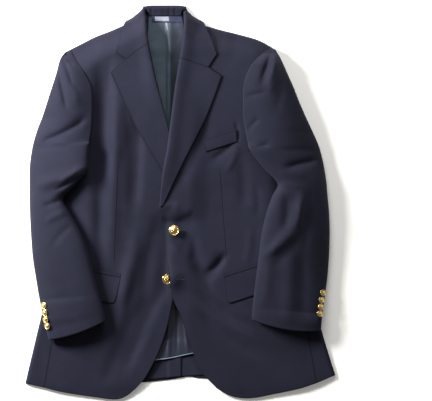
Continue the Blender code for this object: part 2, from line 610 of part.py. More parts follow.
def front(name, rails, outer, height, west_gap, east_gap):
    """Front from hem to shoulder, turned down to the floor along the shoulder's rim."""
    corners = np.array([point[1] for point in rails["corners"]]) * CM
    tip = rails[outer][-1][1] * CM
    cap = np.linspace(corners.max(), tip, 9)[1:-1]
    slant = np.linspace(corners.min(), corners.max(), 5)
    under_tip = tip - np.array([1.3, 0.55, 0.2]) * CM
    levels = np.concatenate([LEVELS, slant, cap, under_tip])
    rows = level_shares(smooth_rail(rails[outer]), levels)
    flat = panel(rails, rows, np.linspace(0, 1, 12), west_gap, east_gap)
    grid = with_height(flat, height(flat[..., 0], flat[..., 1]))
    shell(name, grid, CLOTH)
    return grid


def back(name, rails, outer):
    """Half of the back, flat on the floor but for its rise over the collar's fall."""
    tip = rails[outer][-1][1] * CM
    corner = np.max([point[1] for point in rails["corners"]]) * CM
    levels = np.concatenate([LEVELS, [corner], np.linspace(corner, tip, 8)[1:-1]])
    rows = level_shares(smooth_rail(rails[outer]), levels)
    cols = np.sort(np.append(np.linspace(0, 1, 8), corner_shares(rails["top"])))
    inside_rim = lambda x: TOP_INSET * step(np.abs(x - NECK_X), 1 * CM, 4 * CM)
    flat = panel(rails, rows, cols, half_seam, half_seam, inside_rim)
    shell(name, with_height(flat, floor_height(flat[..., 0], flat[..., 1])), CLOTH)


def floor_height(x, y):
    """Middle of the back's wall."""
    return ground(x, y) + CLOTH / 2


def side(name, seam, edge, under, east):
    """Side panel: from its seam with the front over the rim and in beneath to the back's seam."""
    rails = []
    for points in (seam, edge, under):
        line = smooth_rail(points)
        rails.append(at_shares(line, level_shares(line, LEVELS), True)[:, None])
    seam, edge, under = rails
    seam = seam + (east * SEAM / 2, 0)
    under = under + (east * SEAM / 2, 0)
    over = np.array([1.0, 0.7, 0.42, 0.22, 0.1, 0.03])[None, :, None]
    beneath = np.array([0.0, 0.4, 1.0])[None, :, None]
    top = edge + (seam - edge) * over
    bottom = edge + (under - edge) * beneath
    flat = np.concatenate([top, bottom], axis=1)
    height = np.concatenate([body_height(top[..., 0], top[..., 1]),
                             np.full(bottom.shape[:2], OVER_FLOOR)], axis=1)
    shell(name, with_height(flat, height), CLOTH)


def lining():
    """Back lining where it shows: down the open neck and at the open hem."""
    rows, cols = np.linspace(0, 1, 21), np.linspace(0, 1, 12)
    flat = panel(LINING_BACK, rows, cols, half_seam, half_seam)
    shell("lining_back", with_height(flat, lining_height(flat[..., 0], flat[..., 1])), LINING,
          "lining")


def turned(name, rails, edge_key, across, height, start, west, fold_down):
    """Lapel or collar leaf: it lies on its front, and curls down round the roll line."""
    rows = np.linspace(0, 1, 12)
    if fold_down:
        rows = np.sort(np.append(np.linspace(0, 1, 10), point_shares(rails["edge"])[2:4]))
    roll = at_shares(smooth_rail(rails["roll"]), rows, False)
    edge = at_shares(smooth_rail(rails["edge"]), rows, False)
    ends = {"bottom": (roll[0], edge[0]), "top": (roll[-1], edge[-1])}
    rails_across = {key: pair[0] + (pair[1] - pair[0]) * across[:, None]
                    for key, pair in ends.items()}
    rails_across[edge_key] = at_shares(smooth_rail(rails[edge_key]), across, False)
    radius = roll_radius(roll[:, 1], start)
    inner = moved_west(roll, west * radius)
    flat = blended(rails_across["bottom"], rails_across["top"], roll, edge, rows, across)
    flat = flat + (inner - roll)[:, None] * (1 - across)[None, :, None]
    x, y = flat[..., 0], flat[..., 1]
    away = np.hypot(*(flat - flat[:, :1]).transpose(2, 0, 1))
    bump = (2 * radius[:, None] - LAYER) * np.exp(-(away / (1.8 * CM)) ** 2)
    z = highest(height, x, y, 1.2 * CM) + LAYER + bump
    if fold_down:
        down = np.hypot(*(flat - flat[:, -1:]).transpose(2, 0, 1)) / (1.0 * CM)
        outside = step(y, EDGE_LEAVES, EDGE_LEAVES + 1.5 * CM)
        z = z + outside * ((FACED / 2 + (z - FACED / 2) * arc(down)) - z)
    angles = np.radians([-70, -30, 5, 40, 68])[None, :]
    curl = inner[:, None] + (roll - inner)[:, None] * np.cos(angles)[..., None]
    curl_z = z[:, :1] - radius[:, None] * (1 - np.sin(angles))
    grid = np.concatenate([with_height(curl, curl_z), with_height(flat, z)], axis=1)
    shell(name, grid, FACED)


def collar_back():
    """Collar round the back of the neck, from its seam over the fold to the edge beneath."""
    y, z, west, east = COLLAR_BACK.T
    share = np.linspace(0, 1, 9)[None, :]
    x = (west[:, None] * (1 - share) + east[:, None] * share) * CM
    grid = np.dstack([x, np.broadcast_to(y[:, None] * CM, x.shape),
                      np.broadcast_to(z[:, None] * MM, x.shape)])
    shell("collar_back", grid[::-1], FACED)


def quad(corners, rows, cols):
    """Plan grid between four corners in cm: hem west, hem east, top east, top west."""
    a, b, c, d = np.array(corners) * CM
    u, v = np.linspace(0, 1, cols)[None, :, None], np.linspace(0, 1, rows)[:, None, None]
    return (1 - v) * ((1 - u) * a + u * b) + v * ((1 - u) * d + u * c)


def applied(name, corners, rows, cols, height, lift, thickness, slot="wool"):
    """Small piece that lies on another one."""
    flat = quad(corners, rows, cols)
    z = highest(height, flat[..., 0], flat[..., 1], 0.8 * CM) + lift
    shell(name, with_height(flat, z), thickness, slot)


def lining_height(x, y):
    """Middle of the lining's wall, with the standing pleat down its centre."""
    pleat = np.exp(-((x - PLEAT_X) / PLEAT_WIDTH) ** 2) * step(y, -36 * CM, -30 * CM)
    pleat = pleat * step(y, 33.5 * CM, 29.5 * CM)
    return ground(x, y) + column(y, LINING_RISE, 1, MM) + PLEAT_RISE * pleat


def hem_height(x, y):
    """Turned-up hem of the back, which passes over the vent's underlap on the right half."""
    return HEM_HEIGHT + HEM_OVER_VENT * step(x, -2.9 * CM, -2.1 * CM) * (x < 0.15 * CM)


def sleeve_plan(table, rows, shares):
    """Outer and inner edges of a sleeve's sections, and the grid of places between them."""
    index = np.arange(len(table), dtype=float)
    values = cubic(rows, index, table, np.gradient(table, axis=0))
    outer, inner = values[:, 0:2] * CM, values[:, 2:4] * CM
    edge, crown, head, bow = values[:, 4:8].T[..., None] * np.array([MM, MM, 1, CM])[:, None, None]
    flat = outer[:, None] + (inner - outer)[:, None] * shares[None, :, None]
    flat[..., 1] -= bow * 4 * shares * (1 - shares)
    edge = edge + sleeve_over(outer[:, :1], outer[:, 1:])
    return flat, edge, crown, np.clip(head, 0, 1)


def sleeve_over(x, y):
    """What a sleeve lies on: the floor, or the body's side with its pocket flap."""
    flap = FLAP_ROOM * step(y, -26.5 * CM, -24.5 * CM) * step(y, -8 * CM, -9.5 * CM)
    cover = highest(body_height, x, y, 1.0 * CM) + flap + 1.0 * MM + CLOTH
    return np.where(rim_distance(x, y) > -1.8 * CM, cover, OVER_FLOOR)


def topsleeve_points(table, rows, shares):
    """Top sleeve: a head that runs on from the armhole, then the upper half of a flat tube."""
    flat, edge, crown, head = sleeve_plan(table, rows, shares)
    inner = flat[:, -1:]
    x, y = inner[..., 0], inner[..., 1]
    on_seam = highest(body_height, x, y, 0.5 * CM) + CLOTH + 0.4 * MM
    rest = head * on_seam + (1 - head) * (sleeve_over(x, y) + EDGE_ROOM)
    rest = np.where(rows[:, None] < 0.5, edge + 1.0 * MM, rest)
    line = edge + (rest - edge) * shares
    tube = line + crown * (1 - np.abs(2 * shares - 1) ** FULLNESS) ** (1 / FULLNESS)
    dome = edge + (rest - edge) * arc(shares * 1.15) + crown * np.sin(math.pi * shares)
    window = np.clip(6 * shares * (1 - shares), 0, 1)
    z = head * dome + (1 - head) * tube + window * folds(flat[..., 0], flat[..., 1], SLEEVE_FOLDS)
    return with_height(flat, z + EDGE_GAP)


def sleeve(name, table, armhole, out):
    """Top and under sleeve, open at the armhole and at the cuff."""
    rows = np.arange(len(table), dtype=float)
    top = topsleeve_points(table, rows, TOP_SHARES)
    shell("topsleeve_" + name, top, CLOTH)

    flat, edge, crown, head = sleeve_plan(table, rows, UNDER_SHARES)
    seam = smooth_rail(armhole)
    open_rows = head[:, 0] > 0.5
    ends = flat[:, -1].copy()
    ends[open_rows, 0] = np.interp(ends[open_rows, 1] - 0.5 * CM, seam[:, 1], seam[:, 0])
    ends[open_rows, 0] += out * ARMHOLE_GAP
    flat = flat[:, :1] + (ends - flat[:, 0])[:, None] * UNDER_SHARES[None, :, None]
    flat[-1, :, 1] -= CUFF_REACH * np.sin(math.pi * UNDER_SHARES) ** 0.7
    x, y = flat[..., 0], flat[..., 1]
    rest = np.where(open_rows[:, None], OVER_FLOOR, sleeve_over(x, y))
    from_outer = np.hypot(*(flat - flat[:, :1]).transpose(2, 0, 1)) / edge
    from_inner = np.hypot(*(flat - flat[:, -1:]).transpose(2, 0, 1)) / EDGE_ROOM
    z = rest + np.maximum(edge - rest, 0) * (1 - arc(from_outer))
    closed = 1 - open_rows[:, None]
    z = np.maximum(z + closed * EDGE_ROOM * (1 - arc(from_inner)) - EDGE_GAP, OVER_FLOOR)
    shell("undersleeve_" + name, with_height(flat, z), CLOTH)
    return top


def button(name, diameter, place, facing, steps):
    """Turned shank button with a rolled rim, its shank's foot at the place."""
    radius = diameter / 2
    mesh = bpy.data.meshes.new(name)
    points = [(r * radius, 0.0, z * radius) for r, z in BUTTON_PROFILE]
    mesh.from_pydata(points, [(i, i + 1) for i in range(len(points) - 1)], [])
    part = linked(name, mesh, "gilt")
    turn = part.modifiers.new("turn", "SCREW")
    turn.axis = "Z"
    turn.steps = turn.render_steps = steps
    turn.use_merge_vertices = True
    turn.merge_threshold = 1e-5
    part.location = place
    part.rotation_euler = Vector(facing).to_track_quat("Z", "Y").to_euler()


def fine_points(grid, finer=(12, 6)):
    """Points of a faceted grid, many times as close along and across."""
    for axis, times in enumerate(finer):
        at = np.linspace(0, grid.shape[axis] - 1, times * (grid.shape[axis] - 1) + 1)
        low = np.minimum(at.astype(int), grid.shape[axis] - 2)
        share = np.expand_dims(at - low, 1 - axis)[..., None]
        grid = np.take(grid, low, axis) * (1 - share) + np.take(grid, low + 1, axis) * share
    return grid.reshape(-1, 3)


def seated(points, place, facing, diameter):
    """Lowest place above the cloth's points where the button's shank and disc are clear."""
    off = points - place
    height = off @ facing
    beside = np.linalg.norm(off - height[:, None] * facing, axis=1)
    shank = height[beside < 0.22 * diameter]
    disc = height[beside < 0.56 * diameter] - DISC_FOOT * diameter / 2
    lift = max(shank.max(initial=-1), disc.max(initial=-1)) + CLOTH / 2 + BUTTON_GAP
    return place + facing * lift


def cuff_buttons(name, table, grid, rows):
    """Four touching buttons on the top sleeve beside its outer edge, all facing one way."""
    patch = topsleeve_points(table, np.array([rows[0], rows[-1]]),
                             np.array([CUFF_INSET - 0.035, CUFF_INSET + 0.035]))
    across = patch[:, 1].mean(0) - patch[:, 0].mean(0)
    along = patch[1].mean(0) - patch[0].mean(0)
    facing = np.cross(across, along)
    facing *= math.copysign(1, facing[2]) / np.linalg.norm(facing)
    shares = np.array([CUFF_INSET - 0.01, CUFF_INSET + 0.01])
    first, last = topsleeve_points(table, np.array([rows[0], rows[-1]]), shares).mean(1)
    for number in range(4):
        place = first + (last - first) * number / 3
        place = seated(fine_points(grid), place, facing, CUFF_BUTTON)
        button(f"cuff_button_{name}_{number + 1}", CUFF_BUTTON, place, facing, CUFF_STEPS)


def front_button(name, place, height, grid, lean):
    """Front button on its front, facing as the cloth under it does, or leaning to the east."""
    x, y = place[0] * CM, place[1] * CM
    reach = 1.0 * CM
    slope_x = (height(x + reach, y) - height(x - reach, y)) / (2 * reach)
    slope_y = (height(x, y + reach) - height(x, y - reach)) / (2 * reach)
    facing = np.array([float(lean - slope_x), float(-slope_y), 1.0])
    facing /= np.linalg.norm(facing)
    place = np.array([x, y, float(height(x, y))])
    place = seated(fine_points(grid), place, facing, FRONT_BUTTON)
    button(name, FRONT_BUTTON, place, facing, FRONT_STEPS)


def half_seam(y):
    """Gap of a sewn seam on one side."""
    return np.full(np.shape(y), SEAM / 2)


def under_roll(start):
    """Gap of a front's edge: none down its quarter, and room for the roll above the break."""
    return lambda y: step(y, BREAK_Y - 1.2 * CM, BREAK_Y) * (
        0.66 * roll_radius(y, start) + 1.3 * MM)


def build():
    for part in list(bpy.data.objects):
        bpy.data.objects.remove(part, do_unlink=True)
    bpy.context.scene.collection.children.link(bpy.data.collections.new(PART))

    back("back_right", BACK_RIGHT, "west")
    back("back_left", BACK_LEFT, "east")
    applied("vent_underlap", VENT_UNDERLAP, 5, 3, lambda x, y: 0 * x, UNDERLAP_HEIGHT, CLOTH)
    applied("hem_right", HEM_RIGHT, 3, 14, hem_height, 0.0, CLOTH)
    applied("hem_left", HEM_LEFT, 3, 5, hem_height, 0.0, CLOTH)
    lining()
    applied("label", LABEL, 2, 5, lining_height, ON_LINING, LABEL_WALL, "label")

    side("side_right", SIDE_SEAM_RIGHT, SIDE_EDGE_RIGHT, BACK_SEAM_RIGHT, -1)
    side("side_left", SIDE_SEAM_LEFT, SIDE_EDGE_LEFT, BACK_SEAM_LEFT, 1)
    right = front("front_right", FRONT_RIGHT, "west", body_height, half_seam,
                  under_roll(ROLL_START_RIGHT))
    left = front("front_left", FRONT_LEFT, "east", lap_height, under_roll(ROLL_START_LEFT),
                 half_seam)
    front_button("button_top", BUTTON_TOP, lap_height, left, 0.0)
    front_button("button_low", BUTTON_LOW, body_height, right, LOW_LEAN)

    turned("lapel_right", LAPEL_RIGHT, "top", LAPEL_SHARES, body_height, ROLL_START_RIGHT, 1,
           False)
    turned("lapel_left", LAPEL_LEFT, "top", LAPEL_SHARES, lap_height, ROLL_START_LEFT, -1, False)
    turned("collar_leaf_right", LEAF_RIGHT, "bottom", LEAF_SHARES, body_height,
           ROLL_START_RIGHT, 1, True)
    turned("collar_leaf_left", LEAF_LEFT, "bottom", LEAF_SHARES, lap_height, ROLL_START_LEFT, -1,
           True)
    collar_back()

    applied("flap_right", FLAP_RIGHT, 5, 9, body_height, ON_FRONT, CLOTH)
    applied("flap_left", FLAP_LEFT, 5, 9, lap_height, ON_FRONT, CLOTH)
    applied("jet_right", JET_RIGHT, 2, 9, body_height, ON_FRONT, JET_WALL)
    applied("jet_left", JET_LEFT, 2, 9, lap_height, ON_FRONT, JET_WALL)
    applied("breast_welt", BREAST_WELT, 3, 6, lap_height, ON_FRONT, CLOTH)

    top = sleeve("right", SLEEVE_RIGHT, BACK_ARMHOLE_RIGHT, -1)
    cuff_buttons("right", SLEEVE_RIGHT, top, CUFF_ROWS_RIGHT)
    top = sleeve("left", SLEEVE_LEFT, BACK_ARMHOLE_LEFT, 1)
    cuff_buttons("left", SLEEVE_LEFT, top, CUFF_ROWS_LEFT)


build()
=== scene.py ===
"""The looks of a two-button navy blazer laid flat, face up, on a pale floor.

Metres, +Z up, +Y towards the collar, the floor at z = 0. Left and right are the wearer's, so
the left pieces are at +X. Each sewn piece is a fine grid of points: its plan lies between four
rails, its height is a sum of soft forms, and a thin wall is carried round it. Plans are in
centimetres and heights in millimetres, as a tailor would note them.
"""

import math

import bmesh
import bpy
import numpy as np
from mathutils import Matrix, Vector


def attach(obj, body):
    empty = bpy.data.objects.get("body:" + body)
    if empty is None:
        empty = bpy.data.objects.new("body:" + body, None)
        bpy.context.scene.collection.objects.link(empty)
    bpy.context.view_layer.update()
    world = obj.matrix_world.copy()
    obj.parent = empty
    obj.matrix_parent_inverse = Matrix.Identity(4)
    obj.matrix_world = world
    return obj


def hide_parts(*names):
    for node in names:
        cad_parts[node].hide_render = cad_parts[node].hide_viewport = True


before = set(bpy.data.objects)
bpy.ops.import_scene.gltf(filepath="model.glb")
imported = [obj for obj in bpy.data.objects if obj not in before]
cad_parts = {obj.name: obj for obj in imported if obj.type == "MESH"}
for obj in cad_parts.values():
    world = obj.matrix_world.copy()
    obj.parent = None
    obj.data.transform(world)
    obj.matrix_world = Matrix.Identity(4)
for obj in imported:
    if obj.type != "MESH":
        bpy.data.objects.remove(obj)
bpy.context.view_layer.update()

CM = 0.01
MM = 0.001

# Walls: cloth, cloth with its facing, lining, label and pocket jet
CLOTH = 1.6 * MM
FACED = 2.0 * MM
LINING = 1.0 * MM
LABEL_WALL = 0.6 * MM
JET_WALL = 1.2 * MM

# Gaps: at a sewn seam, under a button, from a sleeve to the armhole's back, and to the floor
SEAM = 0.3 * MM
ARMHOLE_GAP = 2.5 * MM
OVER_FLOOR = CLOTH / 2 + 0.1 * MM

# Rise of the middle of one wall over the middle of the wall that it lies on
LAYER = 3.2 * MM
ON_FRONT = CLOTH + SEAM
ON_LINING = 1.1 * MM
UNDERLAP_HEIGHT = 2.75 * MM
HEM_HEIGHT = 2.7 * MM
HEM_OVER_VENT = 1.9 * MM

# Body's rim: its height and its largest share of the loft, how soon it turns up, how far inside
# it the back's top ends, and how far from the neck's middle that inset starts and is whole
RIM_HEIGHT = 8.0 * MM
RIM_SHARE = 0.6
RIM_ROUND = 0.8 * CM
TOP_INSET = 4.5 * MM
TOP_INSET_STARTS = (1 * CM, 4 * CM)

# Where the back lies on the collar's fall: lift, from which Y up, and how far out from its middle
COLLAR_LIFT = 2.6 * MM
COLLAR_LIFT_FROM = (29.5 * CM, 32.0 * CM)
COLLAR_LIFT_OUT = (15.0 * CM, 12.5 * CM)

# Where the fronts' folds and their finer creases come in: in from the rim, and up from the hem
FOLDS_FROM_RIM = (1.0 * CM, 5.0 * CM)
FOLDS_FROM_HEM = (-39.5 * CM, -36.0 * CM)
CREASES_FROM_RIM = (0.6 * CM, 2.5 * CM)

# Ripples of each cloth: size, height, and turn in radians
FRONT_RIPPLES = (1.9 * CM, 0.35 * MM, 0.5)
FACING_RIPPLES = (1.6 * CM, 0.2 * MM, 0.9)
SLEEVE_RIPPLES = (1.8 * CM, 0.35 * MM, 2.2)
LINING_RIPPLES = (1.1 * CM, 0.2 * MM, 1.1)

# Left front's rise over the right one, more over the lapel beneath, and over the low button
LAP_RISE = 3.2 * MM
LAP_OVER_LAPEL = 4.0 * MM
LAP_OVER_BUTTON = 9.5 * MM

# Where that rise comes in: over the lapel up from the break, below the collar, and from the east;
# and the bump over the low button, how far east of it and how wide
LAP_LAPEL_FROM = (-4.5 * CM, -1.5 * CM)
LAP_BELOW = (26 * CM, 16 * CM)
LAP_FROM_EAST = (6.2 * CM, 1.4 * CM)
LAP_BUMP_EAST = 1.2  # cm
LAP_BUMP_WIDTH = 2.0 * CM

# Roll of the lapels: radius at its start and above, the length over which it grows, how far its
# bump runs on under the lapel, the curl's angles (first, last, count), where it starts, the break,
# and the share of the radius and the room that a front's edge keeps from it, from where up to
# where; then where the collar's edge leaves the fronts, the length in Y over which it goes down
# behind them and the width in from the edge
ROLL_LOW = 1.6 * MM
ROLL_HIGH = 4.2 * MM
ROLL_GROWTH = 12 * CM
ROLL_FADE = 1.8 * CM
ROLL_ANGLES = (-70, 80, 14)
ROLL_START_RIGHT = 16.5 * CM
ROLL_START_LEFT = -0.5 * CM
BREAK_Y = -2.3 * CM
EDGE_SHARE, EDGE_KEEPS = 0.66, 1.3 * MM
EDGE_FROM = BREAK_Y - 1.2 * CM
EDGE_LEAVES = 36.2 * CM
EDGE_FALL = 1.5 * CM
EDGE_DOWN = 1.0 * CM

# Collar's fold at the back of the neck: its height, and where the leaves come up to it
COLLAR_FOLD = 12.4 * MM
COLLAR_JOIN = (37.5 * CM, 40.2 * CM)

# Reach of the smooth hull under a lapel, a small applied piece and a sleeve
FACING_REACH = 0.7 * CM
APPLIED_REACH = 0.6 * CM
SLEEVE_REACH = 1.0 * CM

# Sleeves: room inside the inner edge, gap between top and under sleeve, room over a flap and the
# Y at its two ends, room over the body and where it comes in outside the rim
EDGE_ROOM = 8.0 * MM
EDGE_GAP = 0.6 * MM
FLAP_ROOM = 3.4 * MM
FLAP_ENDS = ((-26.5 * CM, -24.5 * CM), (-3.5 * CM, -10 * CM))
BODY_ROOM = 2.0 * MM
BODY_FROM = (-4.5 * CM, -1.2 * CM)

# How far the cuff's underside reaches out, how full the flat tubes are (the superellipse's
# power), how soon the sleeve head is level, the roped seam at the armhole and its share of the
# width, and the head at which the under sleeve opens to the armhole
CUFF_REACH = 0.9 * CM
FULLNESS = 2.2
HEAD_LEVEL = 1.15
ROPING = 1.3 * MM
ROPING_SHARE = 0.03
HEAD_OPENS = (0.35, 0.65)

# Centre pleat of the lining, and where it comes in above the hem and ends below the collar
PLEAT_X = -2.5 * CM
PLEAT_WIDTH = 0.6 * CM
PLEAT_RISE = 1.6 * MM
PLEAT_FROM = (-36 * CM, -30 * CM)
PLEAT_ENDS = (33.5 * CM, 29.5 * CM)

# Where the turned hem climbs on to the vent's underlap, and where the underlap ends
HEM_CLIMB = (-2.9 * CM, -2.1 * CM)
UNDERLAP_END = 0.15 * CM

# Height of the fronts over the floor, down the middle of each: y in cm, height in mm, and how
# far in from the rim, in cm, the cloth takes to rise to it
LOFT = np.array([
    # y, height, run
    (-40.94, 4.0, 8.0),
    (-37.84, 7.5, 8.5),
    (-30.59, 12.0, 9.0),
    (-20.24, 18.0, 9.0),
    (-9.89, 22.0, 9.0),
    (0.46, 28.0, 8.5),
    (10.81, 36.0, 8.0),
    (21.16, 40.0, 7.0),
    (29.44, 38.0, 5.0),
    (37.72, 32.0, 4.0),
])

# Outline of the body from the hem corner up the side, round the shoulder and to the neck
SIDE_EDGE_RIGHT = [
    (-32.0, -37.47), (-31.44, -34.94), (-30.51, -31.01), (-29.68, -27.49), (-28.44, -22.31),
    (-27.2, -16.1), (-26.58, -9.89), (-26.48, -4.72), (-26.79, 1.49), (-27.14, 5.63),
    (-27.41, 9.36),
]
CAP_EDGE_RIGHT = [
    (-27.61, 11.84), (-27.66, 14.95), (-27.41, 19.5), (-26.89, 22.19), (-26.27, 24.47),
    (-25.54, 26.74), (-24.82, 29.23), (-23.99, 30.78),
]
SHOULDER_RIGHT = [
    (-22.75, 31.53), (-20.16, 32.85), (-17.68, 34.09), (-14.37, 35.38), (-12.61, 36.14),
    (-11.26, 36.76), (-10.12, 37.38), (-9.09, 38.13), (-7.95, 38.92),
]
SIDE_EDGE_LEFT = [
    (32.0, -35.73), (31.28, -33.49), (30.24, -30.18), (29.21, -26.66), (27.86, -21.28),
    (26.62, -16.1), (26.0, -9.89), (25.9, -4.72), (26.1, 1.49), (26.41, 5.63), (26.72, 9.36),
]
CAP_EDGE_LEFT = [
    (26.62, 11.84), (26.21, 14.95), (25.17, 19.09), (23.72, 22.6), (22.27, 25.92), (21.24, 27.99),
    (20.51, 29.85), (19.69, 31.19),
]
SHOULDER_LEFT = [
    (18.61, 32.06), (16.27, 33.37), (12.13, 34.61), (7.58, 35.73), (5.51, 36.31), (3.95, 36.76),
    (2.61, 37.67), (1.24, 38.79),
]

# Seams from hem to armhole: the side panel's to the front and, beneath, to the back; then the
# armhole up the front and up the back
SIDE_SEAM_RIGHT = [
    (-28.15, -38.32), (-26.64, -29.48), (-25.34, -21.28), (-24.51, -11.96), (-24.41, -4.72),
    (-24.72, 2.53), (-25.23, 9.15),
]
SIDE_SEAM_LEFT = [
    (28.17, -37.38), (26.83, -29.56), (25.38, -21.28), (24.34, -11.96), (24.14, -4.72),
    (24.24, 2.53), (24.55, 8.11),
]
BACK_SEAM_RIGHT = [
    (-29.48, -37.55), (-27.2, -27.49), (-24.92, -17.14), (-24.09, -8.86), (-24.09, -0.58),
    (-24.72, 8.74),
]
BACK_SEAM_LEFT = [
    (29.52, -36.02), (26.62, -26.66), (24.14, -16.1), (23.41, -7.82), (23.52, -0.58), (24.14, 7.7),
]
ARMHOLE_RIGHT = [
    (-25.23, 9.15), (-18.88, 11.63), (-18.88, 11.63), (-18.34, 15.36), (-18.22, 19.5),
    (-18.46, 23.23), (-19.44, 25.92), (-21.3, 28.92), (-22.75, 31.53),
]
ARMHOLE_LEFT = [
    (24.55, 8.11), (14.26, 10.6), (14.26, 10.6), (13.41, 14.74), (12.94, 19.09), (13.0, 22.81),
    (13.66, 26.33), (15.32, 29.15), (18.61, 32.06),
]
BACK_ARMHOLE_RIGHT = [
    (-24.72, 8.74), (-22.23, 14.12), (-21.2, 19.5), (-21.2, 23.64), (-21.82, 27.78),
    (-22.75, 31.53),
]
BACK_ARMHOLE_LEFT = [
    (24.14, 7.7), (19.17, 13.29), (16.48, 19.5), (16.17, 24.26), (17.1, 28.19), (18.61, 32.06),
]

# Largest folds in the fronts: from and to in cm, sideways bow in cm, widths left and right of
# the fold's line in cm, and height in mm, less than zero for a trough
BODY_FOLDS = np.array([
    # x0, y0, x1, y1, bow, left, right, height
    (-16.85, 27.37, -16.85, -13.0, 0.3, 1.5, 1.4, -6.0),
    (-13.95, 22.19, -14.37, -11.55, 0.4, 1.2, 1.3, 3.0),
    (-10.02, 18.05, -9.81, -4.72, -0.3, 1.3, 1.3, -2.5),
    (-4.43, -2.65, -7.53, -21.28, -0.5, 1.6, 1.4, -3.5),
    (-7.12, -20.24, -15.4, -37.63, -0.9, 1.5, 1.5, -3.0),
    (-8.16, -7.82, -12.09, -21.28, -0.4, 1.6, 1.6, 2.5),
    (5.09, 15.36, -0.5, 2.94, 0.2, 1.3, 1.8, -2.6),
    (-1.32, -0.79, 1.99, -2.44, -0.2, 1.2, 1.2, 2.6),
    (-2.98, -4.1, 0.75, -6.58, 0.5, 1.2, 1.2, -2.2),
    (8.61, -10.93, 5.51, -16.1, 0.5, 0.9, 1.3, -4.0),
    (3.64, -16.52, 12.34, -25.42, -0.7, 1.3, 1.3, -2.0),
    (11.92, 13.7, 6.13, 8.11, 0.4, 1.2, 1.2, -2.2),
    (12.34, 9.77, 13.17, -0.58, 0.3, 1.3, 1.3, -2.5),
    (17.51, -2.65, 16.89, -11.96, 0.2, 1.3, 1.3, 2.0),
])

# Plans of the flat pieces. Each is four rails that share their corners; a point given twice is
# a corner in a rail
FRONT_RIGHT = {
    "hem": [(-28.15, -38.32), (-24.92, -39.14), (-17.68, -40.28), (-13.12, -40.74),
            (-11.26, -40.08), (-9.4, -38.63)],
    "top": SHOULDER_RIGHT,
    "west": SIDE_SEAM_RIGHT + ARMHOLE_RIGHT,
    "corners": [(-25.23, 9.15), (-18.88, 11.63)],
    "east": [(-9.4, -38.63), (-7.49, -36.49), (-5.28, -32.54), (-3.97, -29.46), (-2.73, -25.5),
             (-2.07, -22.42), (-1.47, -19.5), (-0.64, -15.28), (-0.08, -9.89), (0.19, -5.34),
             (0.19, -0.37), (-0.37, 3.56), (-1.22, 9.36), (-2.57, 15.63), (-4.55, 23.33),
             (-5.67, 28.19), (-6.6, 32.85), (-7.0, 35.65), (-7.95, 38.92)],
}
FRONT_LEFT = {
    "hem": [(7.58, -38.46), (9.44, -39.64), (11.92, -40.39), (14.82, -40.49), (19.17, -39.7),
            (24.96, -38.46), (28.17, -37.38)],
    "top": SHOULDER_LEFT[::-1],
    "west": [(7.58, -38.46), (5.71, -36.6), (4.06, -34.73), (2.61, -30.93), (1.74, -28.42),
             (0.75, -25.42), (-0.17, -22.73), (-1.03, -21.07), (-1.53, -19.62), (-2.24, -14.66),
             (-3.06, -10.72), (-3.42, -6.79), (-4.24, -0.89), (-3.56, 6.25), (-2.69, 11.01),
             (-2.13, 15.36), (-0.91, 24.67), (-0.04, 29.81), (0.54, 33.37), (0.79, 36.68),
             (1.24, 38.79)],
    "east": SIDE_SEAM_LEFT + ARMHOLE_LEFT,
    "corners": [(24.55, 8.11), (14.26, 10.6)],
}
LAPEL_RIGHT = {
    "roll": [(0.19, -0.37), (-0.37, 3.56), (-1.22, 9.36), (-2.57, 15.63), (-4.55, 23.33),
             (-5.67, 28.19), (-6.58, 32.75)],
    "edge": [(-0.58, -0.27), (-3.39, 6.04), (-8.84, 15.05), (-12.54, 22.81), (-14.39, 26.83)],
    "top": [(-6.58, 32.75), (-8.88, 31.3), (-11.12, 29.6), (-14.39, 26.83)],
}
LAPEL_LEFT = {
    "roll": [(-4.24, -0.89), (-3.56, 6.25), (-2.69, 11.01), (-2.13, 15.36), (-0.91, 24.67),
             (-0.04, 29.81)],
    "edge": [(-3.71, -0.68), (0.33, 7.91), (4.97, 17.02), (6.85, 21.57), (8.45, 26.12)],
    "top": [(-0.04, 29.81), (2.61, 28.96), (5.59, 27.95), (5.59, 27.95), (8.45, 26.12)],
}
LEAF_RIGHT = {
    "roll": [(-6.6, 32.81), (-7.0, 35.65), (-7.24, 38.13), (-7.31, 39.66), (-7.22, 40.45)],
    "edge": [(-13.33, 31.09), (-12.61, 33.37), (-11.96, 35.65), (-11.36, 37.26), (-10.23, 37.92),
             (-9.4, 38.54), (-8.57, 39.21), (-7.95, 39.85), (-7.5, 40.45)],
    "bottom": [(-6.6, 32.81), (-8.9, 31.36), (-11.12, 29.66), (-11.12, 29.66), (-13.33, 31.09)],
}
LEAF_LEFT = {
    "roll": [(-0.02, 29.87), (0.54, 33.37), (0.79, 36.68), (0.72, 39.45), (0.68, 40.45)],
    "edge": [(7.49, 30.68), (6.44, 33.37), (5.42, 35.65), (4.76, 37.12), (3.35, 37.92),
             (2.44, 38.54), (1.78, 39.16), (1.49, 39.45), (0.98, 40.45)],
    "bottom": [(-0.02, 29.87), (2.61, 29.02), (5.59, 28.01), (5.59, 28.01), (7.49, 30.68)],
}
BACK_RIGHT = {
    "hem": [(-29.48, -37.55), (-18.71, -37.55), (-7.78, -37.22), (-1.95, -36.64)],
    "top": SHOULDER_RIGHT + [(-7.95, 38.92), (-5.88, 39.37), (-2.98, 39.54)],
    "west": BACK_SEAM_RIGHT + BACK_ARMHOLE_RIGHT,
    "corners": [(-24.72, 8.74)],
    "east": [(-1.95, -36.64), (-2.15, -9.89), (-2.57, 17.02), (-2.98, 39.54)],
}
